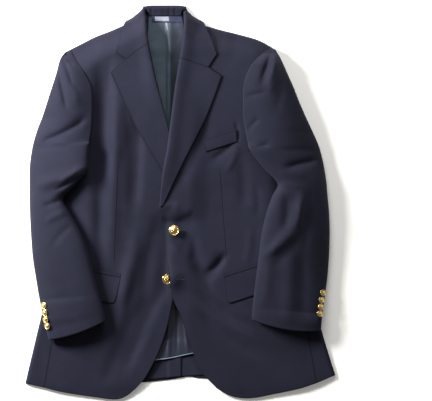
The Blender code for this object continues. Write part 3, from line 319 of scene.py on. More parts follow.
BACK_LEFT = {
    "hem": [(-1.95, -36.64), (1.88, -36.04), (3.79, -36.35), (16.48, -36.39), (29.52, -36.02)],
    "top": [(-2.98, 39.54), (-0.91, 39.37), (1.24, 38.79)] + SHOULDER_LEFT[::-1],
    "west": [(-1.95, -36.64), (-2.15, -9.89), (-2.57, 17.02), (-2.98, 39.54)],
    "east": BACK_SEAM_LEFT + BACK_ARMHOLE_LEFT,
    "corners": [(24.14, 7.7)],
}
LINING_BACK = {
    "hem": [(-8.78, -32.77), (-5.13, -32.6), (-2.07, -32.23), (2.4, -31.28), (5.3, -30.91)],
    "top": [(-6.5, 38.54), (-4.22, 38.63), (-1.74, 38.63), (0.33, 38.54)],
    "west": [(-8.78, -32.77), (-8.78, -9.89), (-8.57, 17.02), (-6.91, 31.51), (-6.5, 38.54)],
    "east": [(5.3, -30.91), (5.3, -9.89), (3.85, 17.02), (1.37, 31.51), (0.33, 38.54)],
}
VENT_UNDERLAP = [(-1.86, -35.77), (0.12, -35.56), (0.04, -15.69), (-1.95, -15.69)]
HEM_RIGHT = [(-8.57, -36.85), (0.08, -35.98), (0.04, -30.39), (-8.57, -31.22)]
HEM_LEFT = [(0.17, -35.98), (5.3, -35.69), (5.3, -29.56), (0.12, -30.39)]
LABEL = [(-5.88, 37.26), (0.54, 37.18), (0.12, 38.67), (-5.88, 38.71)]

# Collar round the back of the neck, a row for each line along it, from the seam inside, over
# the fold and down to the fall's edge beneath the back: y, z in mm, west and east end
COLLAR_BACK = np.array([
    # y, height, west, east
    (38.63, 8.2, -6.4, 0.12),
    (39.25, 9.8, -6.54, 0.17),
    (39.91, 12.0, -7.0, 0.54),
    (40.28, 12.4, -7.35, 0.83),
    (40.57, 9.6, -7.43, 0.87),
    (40.65, 6.4, -7.43, 0.87),
    (40.57, 3.0, -7.43, 0.87),
    (40.2, 1.2, -7.53, 0.91),
    (39.58, 1.0, -7.62, 0.99),
    (38.75, 1.0, -8.57, 1.61),
    (37.92, 1.0, -9.6, 2.61),
    (36.89, 1.0, -10.64, 3.73),
    (36.06, 1.0, -11.05, 4.18),
])

# Height of the lining over the floor in mm, where it passes over the vent and the turned hem
LINING_RISE = np.array([
    # y, height
    (-33.08, 6.5), (-29.35, 6.5), (-27.49, 4.9), (-12.38, 4.9), (-9.89, 3.0),
])

# Sleeves, a row for each section from the shoulder to the cuff: outer and inner edge, the outer
# edge's height, the crown over the line between the edges, how much of the section is sleeve
# head (1) or closed tube (0), and the section's bow towards the cuff
SLEEVE_RIGHT = np.array([
    # outer x, y, inner x, y, edge mm, crown mm, head, bow cm
    (-23.86, 30.92, -22.79, 31.48, 2.2, 0.0, 1.0, 0.0),
    (-24.86, 29.44, -21.65, 29.33, 6.0, 3.0, 1.0, 0.0),
    (-25.65, 26.54, -19.75, 26.54, 8.0, 6.0, 1.0, 0.0),
    (-26.52, 23.85, -18.53, 23.95, 8.0, 8.0, 1.0, 0.0),
    (-27.51, 20.74, -18.28, 21.16, 8.0, 10.0, 1.0, 0.0),
    (-28.44, 17.84, -18.3, 18.26, 8.0, 11.0, 1.0, 0.0),
    (-29.56, 14.95, -18.44, 15.36, 8.0, 13.0, 1.0, 0.0),
    (-30.3, 12.46, -18.84, 12.77, 8.0, 14.0, 0.6, 0.0),
    (-30.66, 10.81, -18.96, 11.84, 8.0, 17.0, 0.0, 0.0),
    (-31.07, 7.91, -19.13, 9.15, 8.5, 20.0, 0.0, 0.0),
    (-31.13, 5.42, -19.38, 6.56, 9.0, 22.0, 0.0, 0.0),
    (-31.13, 2.94, -22.23, 3.25, 9.5, 24.0, 0.0, 0.0),
    (-31.13, 0.25, -24.38, 0.7, 10.0, 26.0, 0.0, 0.0),
    (-31.05, -2.65, -23.0, -2.24, 10.0, 26.0, 0.0, 0.0),
    (-30.86, -6.38, -20.84, -6.17, 10.0, 24.0, 0.0, 0.0),
    (-30.51, -11.14, -19.13, -10.72, 10.0, 22.0, 0.0, 0.0),
    (-29.89, -15.28, -18.05, -14.86, 10.0, 20.0, 0.0, 0.0),
    (-29.12, -19.83, -16.99, -18.8, 10.0, 18.0, 0.0, 0.0),
    (-28.19, -24.18, -16.1, -21.9, 9.5, 16.0, 0.0, 0.0),
    (-27.2, -28.42, -15.61, -24.49, 9.0, 14.0, 0.0, 0.6),
])
SLEEVE_LEFT = np.array([
    # outer x, y, inner x, y, edge mm, crown mm, head, bow cm
    (19.62, 31.51, 18.69, 32.0, 1.4, 0.0, 1.0, 0.0),
    (20.82, 29.44, 15.52, 29.35, 6.0, 4.0, 1.0, 0.0),
    (22.07, 26.64, 13.77, 26.54, 8.0, 7.0, 1.0, 0.0),
    (23.31, 23.85, 13.08, 23.64, 8.0, 9.0, 1.0, 0.0),
    (24.45, 20.95, 12.98, 20.74, 8.0, 10.0, 1.0, 0.0),
    (25.79, 17.84, 13.02, 17.84, 8.0, 12.0, 1.0, 0.0),
    (27.03, 15.15, 13.41, 15.05, 8.0, 14.0, 1.0, 0.0),
    (28.34, 12.25, 13.95, 12.36, 8.0, 15.0, 0.6, 0.0),
    (28.96, 10.39, 14.39, 10.81, 8.0, 18.0, 0.0, 0.0),
    (29.62, 7.49, 16.89, 7.64, 8.5, 20.0, 0.0, 0.0),
    (30.14, 4.18, 20.12, 3.97, 9.0, 24.0, 0.0, 0.0),
    (30.39, 1.28, 19.06, 1.18, 9.5, 26.0, 0.0, 0.0),
    (30.72, -2.44, 17.82, -2.34, 10.0, 26.0, 0.0, 0.0),
    (30.82, -6.58, 16.89, -6.58, 10.0, 24.0, 0.0, 0.0),
    (30.68, -11.14, 16.31, -11.14, 10.0, 22.0, 0.0, 0.0),
    (30.35, -15.48, 15.77, -15.28, 10.0, 20.0, 0.0, 0.0),
    (29.77, -19.83, 15.28, -19.21, 10.0, 17.0, 0.0, 0.0),
    (29.31, -23.35, 14.99, -21.9, 9.5, 15.0, 0.0, 0.0),
    (29.02, -26.56, 14.82, -24.24, 9.0, 13.0, 0.0, 0.9),
])

# Largest folds in the sleeves, in the columns of BODY_FOLDS
SLEEVE_FOLDS = np.array([
    # x0, y0, x1, y1, bow, left, right, height
    (-24.51, 29.44, -21.61, 23.23, 0.1, 0.8, 0.8, -2.2),
    (-25.54, 26.95, -23.27, 19.09, 0.1, 0.8, 0.8, -2.6),
    (-19.13, 17.84, -29.89, 11.63, 0.5, 1.2, 1.0, -4.0),
    (-19.13, 6.46, -29.89, 3.15, -0.3, 1.0, 1.2, 3.0),
    (-19.95, 4.6, -29.06, 1.28, -0.2, 1.0, 1.0, -2.0),
    (18.75, 31.09, 16.68, 24.05, 0.2, 0.8, 0.8, -3.0),
    (20.0, 30.26, 18.55, 22.81, 0.2, 0.9, 0.9, 3.0),
    (12.96, 21.78, 18.13, 22.81, 0.1, 0.8, 0.8, -1.6),
    (13.37, 14.74, 16.27, 17.43, 0.1, 0.8, 0.8, -1.8),
    (14.2, 10.81, 18.55, 12.05, 0.1, 0.8, 0.8, -2.0),
    (21.65, 7.08, 29.31, 8.74, 0.2, 1.0, 0.9, -4.0),
    (25.38, 2.53, 16.89, -11.34, 1.9, 1.5, 1.2, 5.0),
    (22.07, 1.28, 21.86, -6.17, 0.2, 1.2, 1.2, -4.0),
    (22.69, -9.89, 22.07, -24.8, 0.2, 1.5, 1.5, 3.0),
])

# Hip pocket flaps, their jets and the breast welt: four plan corners each, hem first
FLAP_RIGHT = [(-25.54, -18.92), (-13.64, -20.99), (-12.34, -15.61), (-24.92, -13.29)]
FLAP_LEFT = [(9.75, -21.03), (23.93, -16.31), (23.1, -11.03), (9.07, -15.61)]
JET_RIGHT = [(-24.92, -13.17), (-12.32, -15.48), (-12.32, -14.82), (-24.92, -12.5)]
JET_LEFT = [(9.03, -15.48), (23.1, -10.91), (23.1, -10.23), (9.03, -14.82)]
BREAST_WELT = [(5.3, 10.52), (11.63, 12.59), (11.51, 14.95), (4.72, 12.71)]

# Place of the low front button in cm, and the middle of the neck
BUTTON_LOW = (-2.94, -15.92)
NECK_X = -3.39 * CM

# Finer creases than the solids hold, in the same columns: the fronts', then the sleeves'
CREASES = np.array([
    # x0, y0, x1, y1, bow, left, right, height
    (-12.5, 22.19, -11.67, 10.81, 0.2, 0.8, 0.9, 1.2),
    (-6.71, -26.45, -10.85, -35.15, -0.3, 0.8, 0.8, -1.2),
    (-11.26, -12.38, -12.92, -26.45, 0.3, 1.2, 1.0, 1.9),
    (-4.22, -1.2, -0.5, -0.79, 0.4, 0.6, 0.7, 1.9),
    (-3.6, -3.48, 0.12, -3.89, -0.4, 0.6, 0.6, -1.9),
    (1.16, -2.86, -0.91, -7.82, -0.5, 0.7, 0.8, -1.9),
    (2.19, -4.1, 1.16, -12.38, 0.4, 0.9, 1.1, 1.8),
    (5.3, -16.52, 10.68, -22.73, -0.5, 0.7, 0.8, -1.6),
    (6.54, -20.24, 13.58, -26.45, -0.5, 0.8, 0.8, 1.2),
    (10.68, 12.25, 6.96, 9.15, 0.3, 0.5, 0.6, -1.8),
    (11.92, 11.63, 9.44, 6.25, 0.3, 0.6, 0.6, 1.4),
    (11.51, 16.6, 11.92, 12.88, 0.1, 0.5, 0.5, -1.8),
    (15.65, 3.56, 16.06, -2.65, 0.2, 0.9, 0.8, -1.6),
    (14.41, -5.75, 13.58, -12.38, 0.3, 0.9, 0.8, 1.4),
    (-14.99, 28.61, -16.02, 3.77, 0.2, 1.2, 2.4, -11.0),
    (-13.12, 22.81, -13.12, 7.7, 0.1, 1.1, 1.1, 2.4),
    (-8.57, 18.26, -9.19, -0.58, 0.1, 1.0, 1.5, -5.6),
    (-2.98, -2.86, -3.19, -19.0, 0.0, 0.9, 2.0, -6.5),
    (-3.6, -17.76, -12.3, -35.56, -0.3, 1.3, 1.9, -5.0),
    (-9.19, -5.34, -12.09, -21.28, 0.3, 1.4, 1.4, 3.4),
    (1.16, -2.44, 5.71, -17.35, -0.6, 1.4, 1.9, -6.5),
    (9.65, -10.72, 5.3, -14.86, 0.3, 0.7, 0.8, -4.0),
    (-1.74, -9.07, 3.23, -13.62, -0.3, 0.9, 0.9, 2.2),
    (1.99, -18.17, 17.72, -26.87, -0.8, 1.3, 1.3, -3.4),
    (3.23, -20.24, 16.89, -28.94, -0.8, 0.9, 0.9, 2.2),
    (4.06, -22.73, 16.06, -31.84, -0.8, 1.1, 1.1, -2.6),
    (-20.16, 32.75, -14.16, 31.51, 0.3, 1.0, 1.0, 0.9),
    (9.85, 32.75, 16.89, 30.26, -0.3, 1.0, 1.0, 1.1),
])
SLEEVE_CREASES = np.array([
    # x0, y0, x1, y1, bow, left, right, height
    (-23.47, 29.23, -22.02, 28.4, 0.0, 0.3, 0.4, -3.3),
    (-24.09, 29.44, -22.44, 24.47, 0.1, 0.4, 0.5, -3.0),
    (-25.34, 26.95, -23.68, 19.91, 0.1, 0.4, 0.5, -3.3),
    (-23.27, 26.33, -21.2, 20.33, 0.1, 0.8, 0.8, 2.1),
    (-19.54, 17.02, -28.23, 12.88, 0.4, 0.5, 0.6, -2.4),
    (-19.33, 7.49, -24.92, 4.18, -0.2, 0.5, 0.6, 2.4),
    (-20.37, 5.01, -25.75, 2.53, -0.1, 0.4, 0.5, -2.7),
    (-24.09, 0.66, -28.23, -0.79, 0.1, 0.6, 0.6, -2.7),
    (-23.68, -2.03, -27.82, -4.1, -0.2, 0.7, 0.7, 2.1),
    (-22.44, -4.72, -26.58, -9.07, -0.3, 0.7, 0.7, -1.7),
    (18.55, 30.68, 16.89, 25.71, 0.1, 0.4, 0.5, -1.9),
    (19.79, 29.44, 18.13, 24.47, 0.1, 0.5, 0.6, 1.8),
    (21.45, 26.95, 19.79, 18.67, 0.2, 0.9, 0.9, -1.4),
    (13.58, 21.78, 17.31, 22.6, 0.1, 0.4, 0.4, -1.2),
    (13.79, 14.74, 16.06, 17.02, 0.1, 0.4, 0.4, -1.5),
    (14.61, 11.01, 18.13, 11.84, 0.1, 0.4, 0.4, -1.8),
    (22.27, 7.29, 28.48, 8.74, 0.1, 0.5, 0.5, -2.4),
    (20.62, 6.25, 26.0, 5.42, 0.2, 0.7, 0.7, 1.6),
    (20.41, 3.77, 24.76, 2.94, 0.2, 0.6, 0.7, 1.6),
    (24.55, 0.46, 23.52, -5.34, 0.5, 0.6, 0.6, 1.8),
    (26.0, 0.46, 25.59, -9.89, 0.4, 0.9, 0.9, -1.6),
    (25.38, 1.28, 24.14, -6.17, 0.3, 0.9, 0.7, 2.5),
    (23.93, -6.17, 16.89, -11.14, 0.3, 0.9, 0.9, 2.5),
    (24.76, -7.41, 18.96, -13.62, 0.3, 0.9, 0.9, -0.9),
    (-19.54, 5.42, -25.34, 0.46, -0.2, 0.8, 0.8, -2.4),
    (18.13, -11.55, 16.89, -21.28, 0.2, 1.2, 0.9, 2.0),
    (25.17, -9.89, 25.59, -23.97, 0.0, 1.2, 1.2, -1.6),
])

# Darts pressed flat, drawn in the paint of the fronts as painted shade over a bumped groove:
# x and y of both ends, in cm
DARTS_RIGHT = [(-12.79, 7.7, -13.21, -2.65), (-13.21, -2.65, -13.64, -12.38)]
DARTS_LEFT = [(8.3, 6.46, 8.9, -2.65), (8.9, -2.65, 9.75, -12.38)]

# Fine folds of the lining, and puckers of the collar's stand
LINING_FOLDS = np.array([
    # x0, y0, x1, y1, bow, left, right, height
    (-2.77, 37.72, -2.15, 29.44, 0.2, 1.3, 0.4, 3.4),
    (-2.36, 29.44, -2.36, 14.95, -0.1, 1.2, 0.4, 3.4),
    (-3.39, 35.65, -2.98, 17.02, 0.1, 0.4, 0.4, -1.5),
    (-0.7, 36.89, 0.75, 34.4, 0.1, 0.7, 0.7, 1.2),
    (-5.26, 33.58, -4.22, 21.16, 0.3, 0.9, 0.9, 0.8),
    (-2.5, -23.97, -2.5, -32.25, 0.0, 0.5, 0.2, 1.2),
    (0.75, -23.97, 1.45, -31.42, 0.0, 0.5, 0.2, 1.2),
    (-0.7, -20.24, -0.75, -31.01, 0.0, 0.35, 0.3, -1.3),
])
STAND_FOLDS = np.array([
    # x0, y0, x1, y1, bow, left, right, height
    (-7.02, 40.41, -6.81, 38.54, 0.0, 0.25, 0.35, -1.6),
    (-5.98, 40.51, -5.98, 38.54, 0.0, 0.3, 0.3, -0.9),
    (-4.22, 40.51, -4.12, 38.54, 0.0, 0.5, 0.5, 0.5),
    (-2.26, 40.51, -2.26, 38.54, 0.0, 0.3, 0.3, -0.8),
    (-1.12, 40.51, -1.01, 38.54, 0.0, 0.25, 0.3, -0.9),
    (0.12, 40.51, 0.12, 38.75, 0.0, 0.4, 0.4, 0.6),
])

# Grids: rows and columns of points of each piece; the fronts have more rows along the shoulder's
# slant and at these distances from its tip, and a side panel has columns over the rim, from all
# of its width down to a share of it and closer towards the rim by a power, and beneath it
FRONT_GRID = (230, 96)
SLANT_ROWS = 12
NEAR_TIP = np.array([6, 4, 2.6, 1.6, 0.9, 0.4, 0.15]) * MM
SIDE_ROWS, SIDE_OVER, SIDE_BENEATH = 150, 22, 5
SIDE_LEAST, SIDE_POWER = 0.03, 1.6
BACK_GRID = (100, 44)
LINING_GRID = (190, 76)
LABEL_GRID = (10, 50)
UNDERLAP_GRID = (60, 10)
HEM_GRIDS = ((30, 50), (30, 30))
LAPEL_GRID = (140, 60)
LEAF_GRID = (80, 44)
COLLAR_GRID = (70, 60)
FLAP_GRID = (40, 90)
JET_GRID = (8, 110)
WELT_GRID = (26, 70)

# Pockets: lift of a flap and of its jet over the front, and how far a flap's corners are drawn in
FLAP_LIFT = 0.2 * MM
JET_LIFT = 0.6 * MM
FLAP_CORNER = 0.05

# Grids of the sleeves, and steps round, rings and beads of a button
TOPSLEEVE_ROWS, UNDERSLEEVE_ROWS, SLEEVE_COLS = 240, 170, 90
FRONT_BUTTON = (200, 60, 64)
CUFF_BUTTON = (96, 26, 44)

# Wool: dark and light colour, factors of a slub and of the gap between two ribs, the twill's
# pitch, and the tone and width of the painted shade at a turned edge, partly its pile pressed
# flat, and of the painted shade along a dart's pressed line
WOOL_DARK = (0.0086, 0.0092, 0.0190)
WOOL_LIGHT = (0.0138, 0.0146, 0.0290)
SLUB_TONES = ((0.7, 0.7, 0.72), (1.25, 1.25, 1.22))
GAP_TONES = ((1.12, 1.12, 1.12), (0.72, 0.72, 0.74))
TWILL_PITCH = 0.9 * MM
EDGE_SHADE_TONE = (0.36, 0.36, 0.44)
EDGE_SHADE = 2.2 * MM
DART_SHADE_TONE = (0.38, 0.38, 0.46)
LINE_WIDTH = 1.6 * MM
PLAIN = (1.0, 1.0, 1.0)

# Lining: dark and light colour, the tint of the painted shade that comes in with -Y at a rate a
# metre, the tint of the painted highlight on its hem, and the painted shade on the east side of
# the centre pleat: its tint, X and softness, and the rate at which it comes in with Y
LINING_DARK = (0.045, 0.062, 0.084)
LINING_LIGHT = (0.078, 0.106, 0.140)
LINING_LOW_SHADE = (0.20, 0.18, 0.25)
PAINTED_LOW_LIGHT_RATE = -5.0
LINING_HEM_HIGHLIGHT = (2.2, 2.2, 2.2)
PLEAT_SHADE = (0.46, 0.42, 0.45)
PLEAT_LINE = -0.0222
PLEAT_SOFT = 0.0035
PLEAT_SHADE_RATE = 20.0

# Label: ground and band, the band's ends along it and its edges across it, and its weave
LABEL_GROUND = (0.014, 0.017, 0.050)
LABEL_PALE = (0.20, 0.21, 0.26)
LABEL_BAND = (6 * MM, 35 * MM)
LABEL_MARGIN, LABEL_TOP = 3 * MM, 12 * MM
LABEL_PITCH = 0.5 * MM

# Metal and thread
GILT_COLOUR, GILT_ROUGHNESS = (0.86, 0.62, 0.24), 0.22
ROPE_COLOUR, ROPE_ROUGHNESS = (0.95, 0.74, 0.36), 0.16
THREAD_DARK = (0.006, 0.007, 0.014)
THREAD_LIGHT = (0.018, 0.020, 0.034)

# Button in radii of itself: how far out the face runs, its height at the middle and what it falls
# with the radius squared; then the rim, the cupped back and the shank
FACE_REACH = 0.74
FACE_HEIGHT = 0.66
FACE_FALL = 0.13 / 0.55
BUTTON_RIM = np.array([
    # radius, height
    (0.765, 0.515), (0.79, 0.512), (0.82, 0.515), (0.85, 0.53), (0.875, 0.55), (0.90, 0.56),
    (0.93, 0.563), (0.96, 0.556), (0.985, 0.535), (1.0, 0.50), (1.0, 0.45), (0.985, 0.41),
    (0.95, 0.385), (0.88, 0.37), (0.7, 0.335), (0.4, 0.31), (0.25, 0.29), (0.22, 0.24),
    (0.22, -0.10), (0.0, -0.10),
])

# Relief of the face in radii: where the ground ends, the lines' height and spacing, the petals'
# least reach, what they add, their height and how soft they end, and the bead's height and radius
GROUND_ENDS = (0.72, 0.68)
LINES_HEIGHT, LINES_PITCH = 0.008, 0.075
PETAL_LEAST, PETAL_ADDS = 0.20, 0.36
PETAL_HEIGHT, PETAL_SOFT = 0.055, 0.10
BEAD_HEIGHT, BEAD_RADIUS = 0.07, 0.15

# Rope ring in radii of the button: where it runs, its height and its thickness
ROPE_REACH = 0.815
ROPE_HEIGHT = 0.525
ROPE_THICK = 0.050

# Buttonhole: pitch of the stitches, their middle's distance from the slit, their swing, the
# thread and its lift; and the cord of the lining's hem
STITCH_PITCH = 0.55 * MM
STITCH_OUT, STITCH_SWING = 0.75, 0.55  # mm
THREAD_RADIUS = 0.22 * MM
STITCH_LIFT = 0.1 * MM
LINING_CORD = 0.9 * MM

# View: width of the picture and its middle on the floor, in metres, and the camera's height
VIEW_WIDTH = 0.894
VIEW_CENTRE = (0.0737, 0.0035)
VIEW_HEIGHT = 4.0

# Floor and light; a lamp points at the frame's origin
FLOOR_SIZE, FLOOR_Z = 8, -0.0004
FLOOR_TONE = (0.90, 0.895, 0.86)
FLOOR_GLOW = 0.15
SURROUND = (1.0, 0.98, 0.95)
SURROUND_POWER = 0.20
LIGHTS = [
    # name, place, width, power in watts, colour
    ("window", (-1.5, 0.75, 0.92), 0.7, 116.0, (1.0, 0.99, 0.98)),
    ("head", (0.0, 1.7, 1.2), 1.2, 30.0, (1.0, 1.0, 1.0)),
]


def smooth_rail(points):
    """Fine line in metres through plan points in cm; a doubled point is a corner."""
    points = np.array(points, float) * CM
    same = np.hypot(*np.diff(points, axis=0).T) < 1e-9
    parts = np.split(points, np.flatnonzero(same) + 1)
    return np.concatenate([curved(part) for part in parts])


def curved(points, fine=8):
    """Cubic pieces through the points, each slope taken from the two neighbours."""
    if len(points) < 3:
        return points
    knots = np.append(0.0, np.cumsum(np.hypot(*np.diff(points, axis=0).T) ** 0.5))
    steps = [np.linspace(a, b, fine, endpoint=False) for a, b in zip(knots[:-1], knots[1:])]
    at = np.append(np.concatenate(steps), knots[-1])
    return cubic(at, knots, points, np.gradient(points, knots, axis=0))


def cubic(at, knots, values, slopes):
    """Hermite pieces that meet the value and the slope at each knot."""
    i = np.clip(np.searchsorted(knots, at, side="right") - 1, 0, len(knots) - 2)
    span = knots[i + 1] - knots[i]
    t = np.clip((at - knots[i]) / span, 0.0, 1.0)
    if values.ndim > 1:
        span, t = span[:, None], t[:, None]
    rise = t * t * (3 - 2 * t)
    bend = slopes[i] * t * (1 - t) ** 2 - slopes[i + 1] * t * t * (1 - t)
    return values[i] * (1 - rise) + values[i + 1] * rise + span * bend


def column(at, table, index, unit):
    """Smooth value of a table's column at any Y, flat beyond the table's ends."""
    rows = table[np.argsort(table[:, 0])]
    knots, values = rows[:, 0] * CM, rows[:, index] * unit
    pace = np.diff(values) / np.diff(knots)
    before, after = pace[:-1], pace[1:]
    level = before * after <= 0
    middle = np.where(level, 0.0, 2 * before * after / np.where(level, 1.0, before + after))
    slopes = np.concatenate([[0.0], middle, [0.0]])
    return cubic(np.ravel(at), knots, values, slopes).reshape(np.shape(at))


def at_shares(line, shares, by_height):
    """Points of a fine line at shares of its rise in Y, or of its length."""
    if by_height:
        run = np.maximum.accumulate(line[:, 1] - line[0, 1])
    else:
        run = np.append(0.0, np.cumsum(np.hypot(*np.diff(line, axis=0).T)))
    run = run + np.arange(len(run)) * 1e-9
    where = shares * run[-1]
    return np.column_stack([np.interp(where, run, line[:, 0]), np.interp(where, run, line[:, 1])])


def level_shares(line, levels):
    """Shares of a rail's rise in Y at which it passes the given levels, and its two ends."""
    shares = (np.sort(levels) - line[0, 1]) / (line[-1, 1] - line[0, 1])
    inside = shares[(shares > 0.001) & (shares < 0.999)]
    return np.concatenate([[0.0], inside, [1.0]])


def corner_shares(points):
    """Shares of a rail's length at which its corners lie."""
    run = np.append(0.0, np.cumsum(np.hypot(*np.diff(np.array(points, float), axis=0).T)))
    shares = run / run[-1]
    return shares[1:][np.diff(shares) < 1e-9]


def moved_west(line, gap):
    """A rail that runs up the plan, moved sideways to the west by a gap at each point."""
    along = np.gradient(line, axis=0)
    along /= np.maximum(np.hypot(*along.T), 1e-12)[:, None]
    return line + np.column_stack([-along[:, 1], along[:, 0]]) * np.reshape(gap, (-1, 1))


def blended(bottom, top, start, end, rows, cols):
    """Plan grid between four sampled rails: the two ruled surfaces less their common corners."""
    u, v = cols[None, :, None], rows[:, None, None]
    sides = (1 - u) * start[:, None] + u * end[:, None]
    ends = (1 - v) * bottom[None] + v * top[None]
    corners = ((1 - v) * ((1 - u) * bottom[0] + u * bottom[-1])
               + v * ((1 - u) * top[0] + u * top[-1]))
    return sides + ends - corners


def step(x, start, end):
    """Smooth rise from 0 at start to 1 at end."""
    t = np.clip((x - start) / (end - start), 0.0, 1.0)
    return t * t * (3 - 2 * t)


def arc(t):
    """Quarter circle: upright at 0, and level at 1 from 1 on."""
    return np.sqrt(1 - (1 - np.clip(t, 0.0, 1.0)) ** 2)


def folds(x, y, table):
    """Soft ridges and troughs: height times exp(-(distance / width) squared), faded at the ends."""
    total = np.zeros(np.shape(x))
    for x0, y0, x1, y1, bow, left, right, height in table:
        dx, dy = (x1 - x0) * CM, (y1 - y0) * CM
        length = math.hypot(dx, dy)
        t = ((x - x0 * CM) * dx + (y - y0 * CM) * dy) / length ** 2
        side = ((y - y0 * CM) * dx - (x - x0 * CM) * dy) / length
        side = side - bow * CM * 4 * np.clip(t, 0, 1) * (1 - np.clip(t, 0, 1))
        width = np.where(side > 0, left, right) * CM
        fade = step(t, -0.15, 0.25) * step(t, 1.15, 0.75)
        total = total + height * MM * fade * np.exp(-(side / width) ** 2)
    return total


def ripples(x, y, size, height, turn):
    """Faint unevenness of laid cloth: three crossed waves of unlike lengths."""
    a = x * math.cos(turn) + y * math.sin(turn)
    b = y * math.cos(turn) - x * math.sin(turn)
    waves = (np.sin(a / size + 1.7 * np.sin(b / size * 0.61))
             + np.sin(b / size * 1.31 + 1.1 * np.sin(a / size * 0.83) + 2.0)
             + np.sin((a + b) / size * 0.72 + 4.0))
    return height * waves / 3


RIM_LINES = [smooth_rail(SIDE_EDGE_RIGHT + CAP_EDGE_RIGHT + SHOULDER_RIGHT),
             smooth_rail(SIDE_EDGE_LEFT + CAP_EDGE_LEFT + SHOULDER_LEFT)]


def rim_distance(x, y):
    """Distance in from the body's rim, less than zero outside it."""
    nearest = np.full(np.shape(x), 1.0)
    for line in RIM_LINES:
        for (ax, ay), (bx, by) in zip(line[:-1], line[1:]):
            dx, dy = bx - ax, by - ay
            t = np.clip(((x - ax) * dx + (y - ay) * dy) / (dx * dx + dy * dy), 0, 1)
            nearest = np.minimum(nearest, np.hypot(x - ax - t * dx, y - ay - t * dy))
    west, east = (np.interp(y, line[:, 1], line[:, 0]) for line in RIM_LINES)
    return np.where((x > west) & (x < east), nearest, -nearest)


def ground(x, y):
    """What the back lies on: the floor, and at the neck the collar's fall."""
    near = step(y, *COLLAR_LIFT_FROM) * step(np.abs(x - NECK_X), *COLLAR_LIFT_OUT)
    return COLLAR_LIFT * near


def body_height(x, y, fine=1.0):
    """Middle of the fronts' wall: a quarter circle up from the rim, a slow rise to the loft,
    and on it the folds, creases and ripples."""
    inward = rim_distance(x, y)
    loft = column(y, LOFT, 1, MM)
    rim = np.minimum(RIM_HEIGHT, RIM_SHARE * loft)
    rise = rim * arc(inward / RIM_ROUND)
    rise = rise + (loft - rim) * step(inward / column(y, LOFT, 2, CM), 0, 1)
    inner = step(inward, *FOLDS_FROM_RIM) * step(y, *FOLDS_FROM_HEM)
    detail = inner * folds(x, y, BODY_FOLDS)
    if fine:
        near = step(inward, *CREASES_FROM_RIM)
        detail = detail + fine * near * (folds(x, y, CREASES) + ripples(x, y, *FRONT_RIPPLES))
    return ground(x, y) + CLOTH / 2 + rise + detail


def lap_height(x, y, fine=1.0):
    """Left front: the body's height, lifted over the right front, its lapel and its button."""
    lift = (LAP_RISE + LAP_OVER_LAPEL * step(y, *LAP_LAPEL_FROM)) * step(y, *LAP_BELOW)
    lift = lift * step(x, *LAP_FROM_EAST)
    east, north = BUTTON_LOW
    near = np.hypot(x - (east + LAP_BUMP_EAST) * CM, y - north * CM) / LAP_BUMP_WIDTH
    return body_height(x, y, fine) + lift + LAP_OVER_BUTTON * np.exp(-near ** 2)


def resting(height, x, y, reach, sharp=2 / MM):
    """Smooth hull over a surface: the log of the mean of exp(sharp * height) at nine places."""
    places = [(0, 0)] + [(math.cos(a), math.sin(a)) for a in np.arange(8) * math.pi / 4]
    heights = np.array([height(x + reach * dx, y + reach * dy, 0.0) for dx, dy in places])
    top = heights.max(axis=0)
    return top + np.log(np.mean(np.exp(sharp * (heights - top)), axis=0)) / sharp


def roll_radius(y, lapel_start):
    """Radius of the soft roll of a lapel or collar, small where it starts."""
    return ROLL_LOW + (ROLL_HIGH - ROLL_LOW) * step(y, lapel_start, lapel_start + ROLL_GROWTH)


def with_height(flat, height):
    """Plan grid and its heights as one grid of points."""
    return np.dstack([flat, height])


def even(points):
    """Lengths of a grid's lines, so that a pattern on the cloth has one scale: u and v."""
    across = np.linalg.norm(np.diff(points, axis=1), axis=2).mean(axis=0)
    along = np.linalg.norm(np.diff(points, axis=0), axis=2).mean(axis=1)
    return np.append(0.0, np.cumsum(across)), np.append(0.0, np.cumsum(along))


def grid_normals(points):
    """Unit normals of a grid from the cross product of its two directions, turned up."""
    normal = np.cross(np.gradient(points, axis=1), np.gradient(points, axis=0))
    return normal / np.maximum(np.linalg.norm(normal, axis=2, keepdims=True), 1e-12)


def border(array):
    """The border of a grid as one closed loop, each corner once."""
    return np.concatenate([array[0, :-1], array[:-1, -1], array[-1, :0:-1], array[:0:-1, 0]])


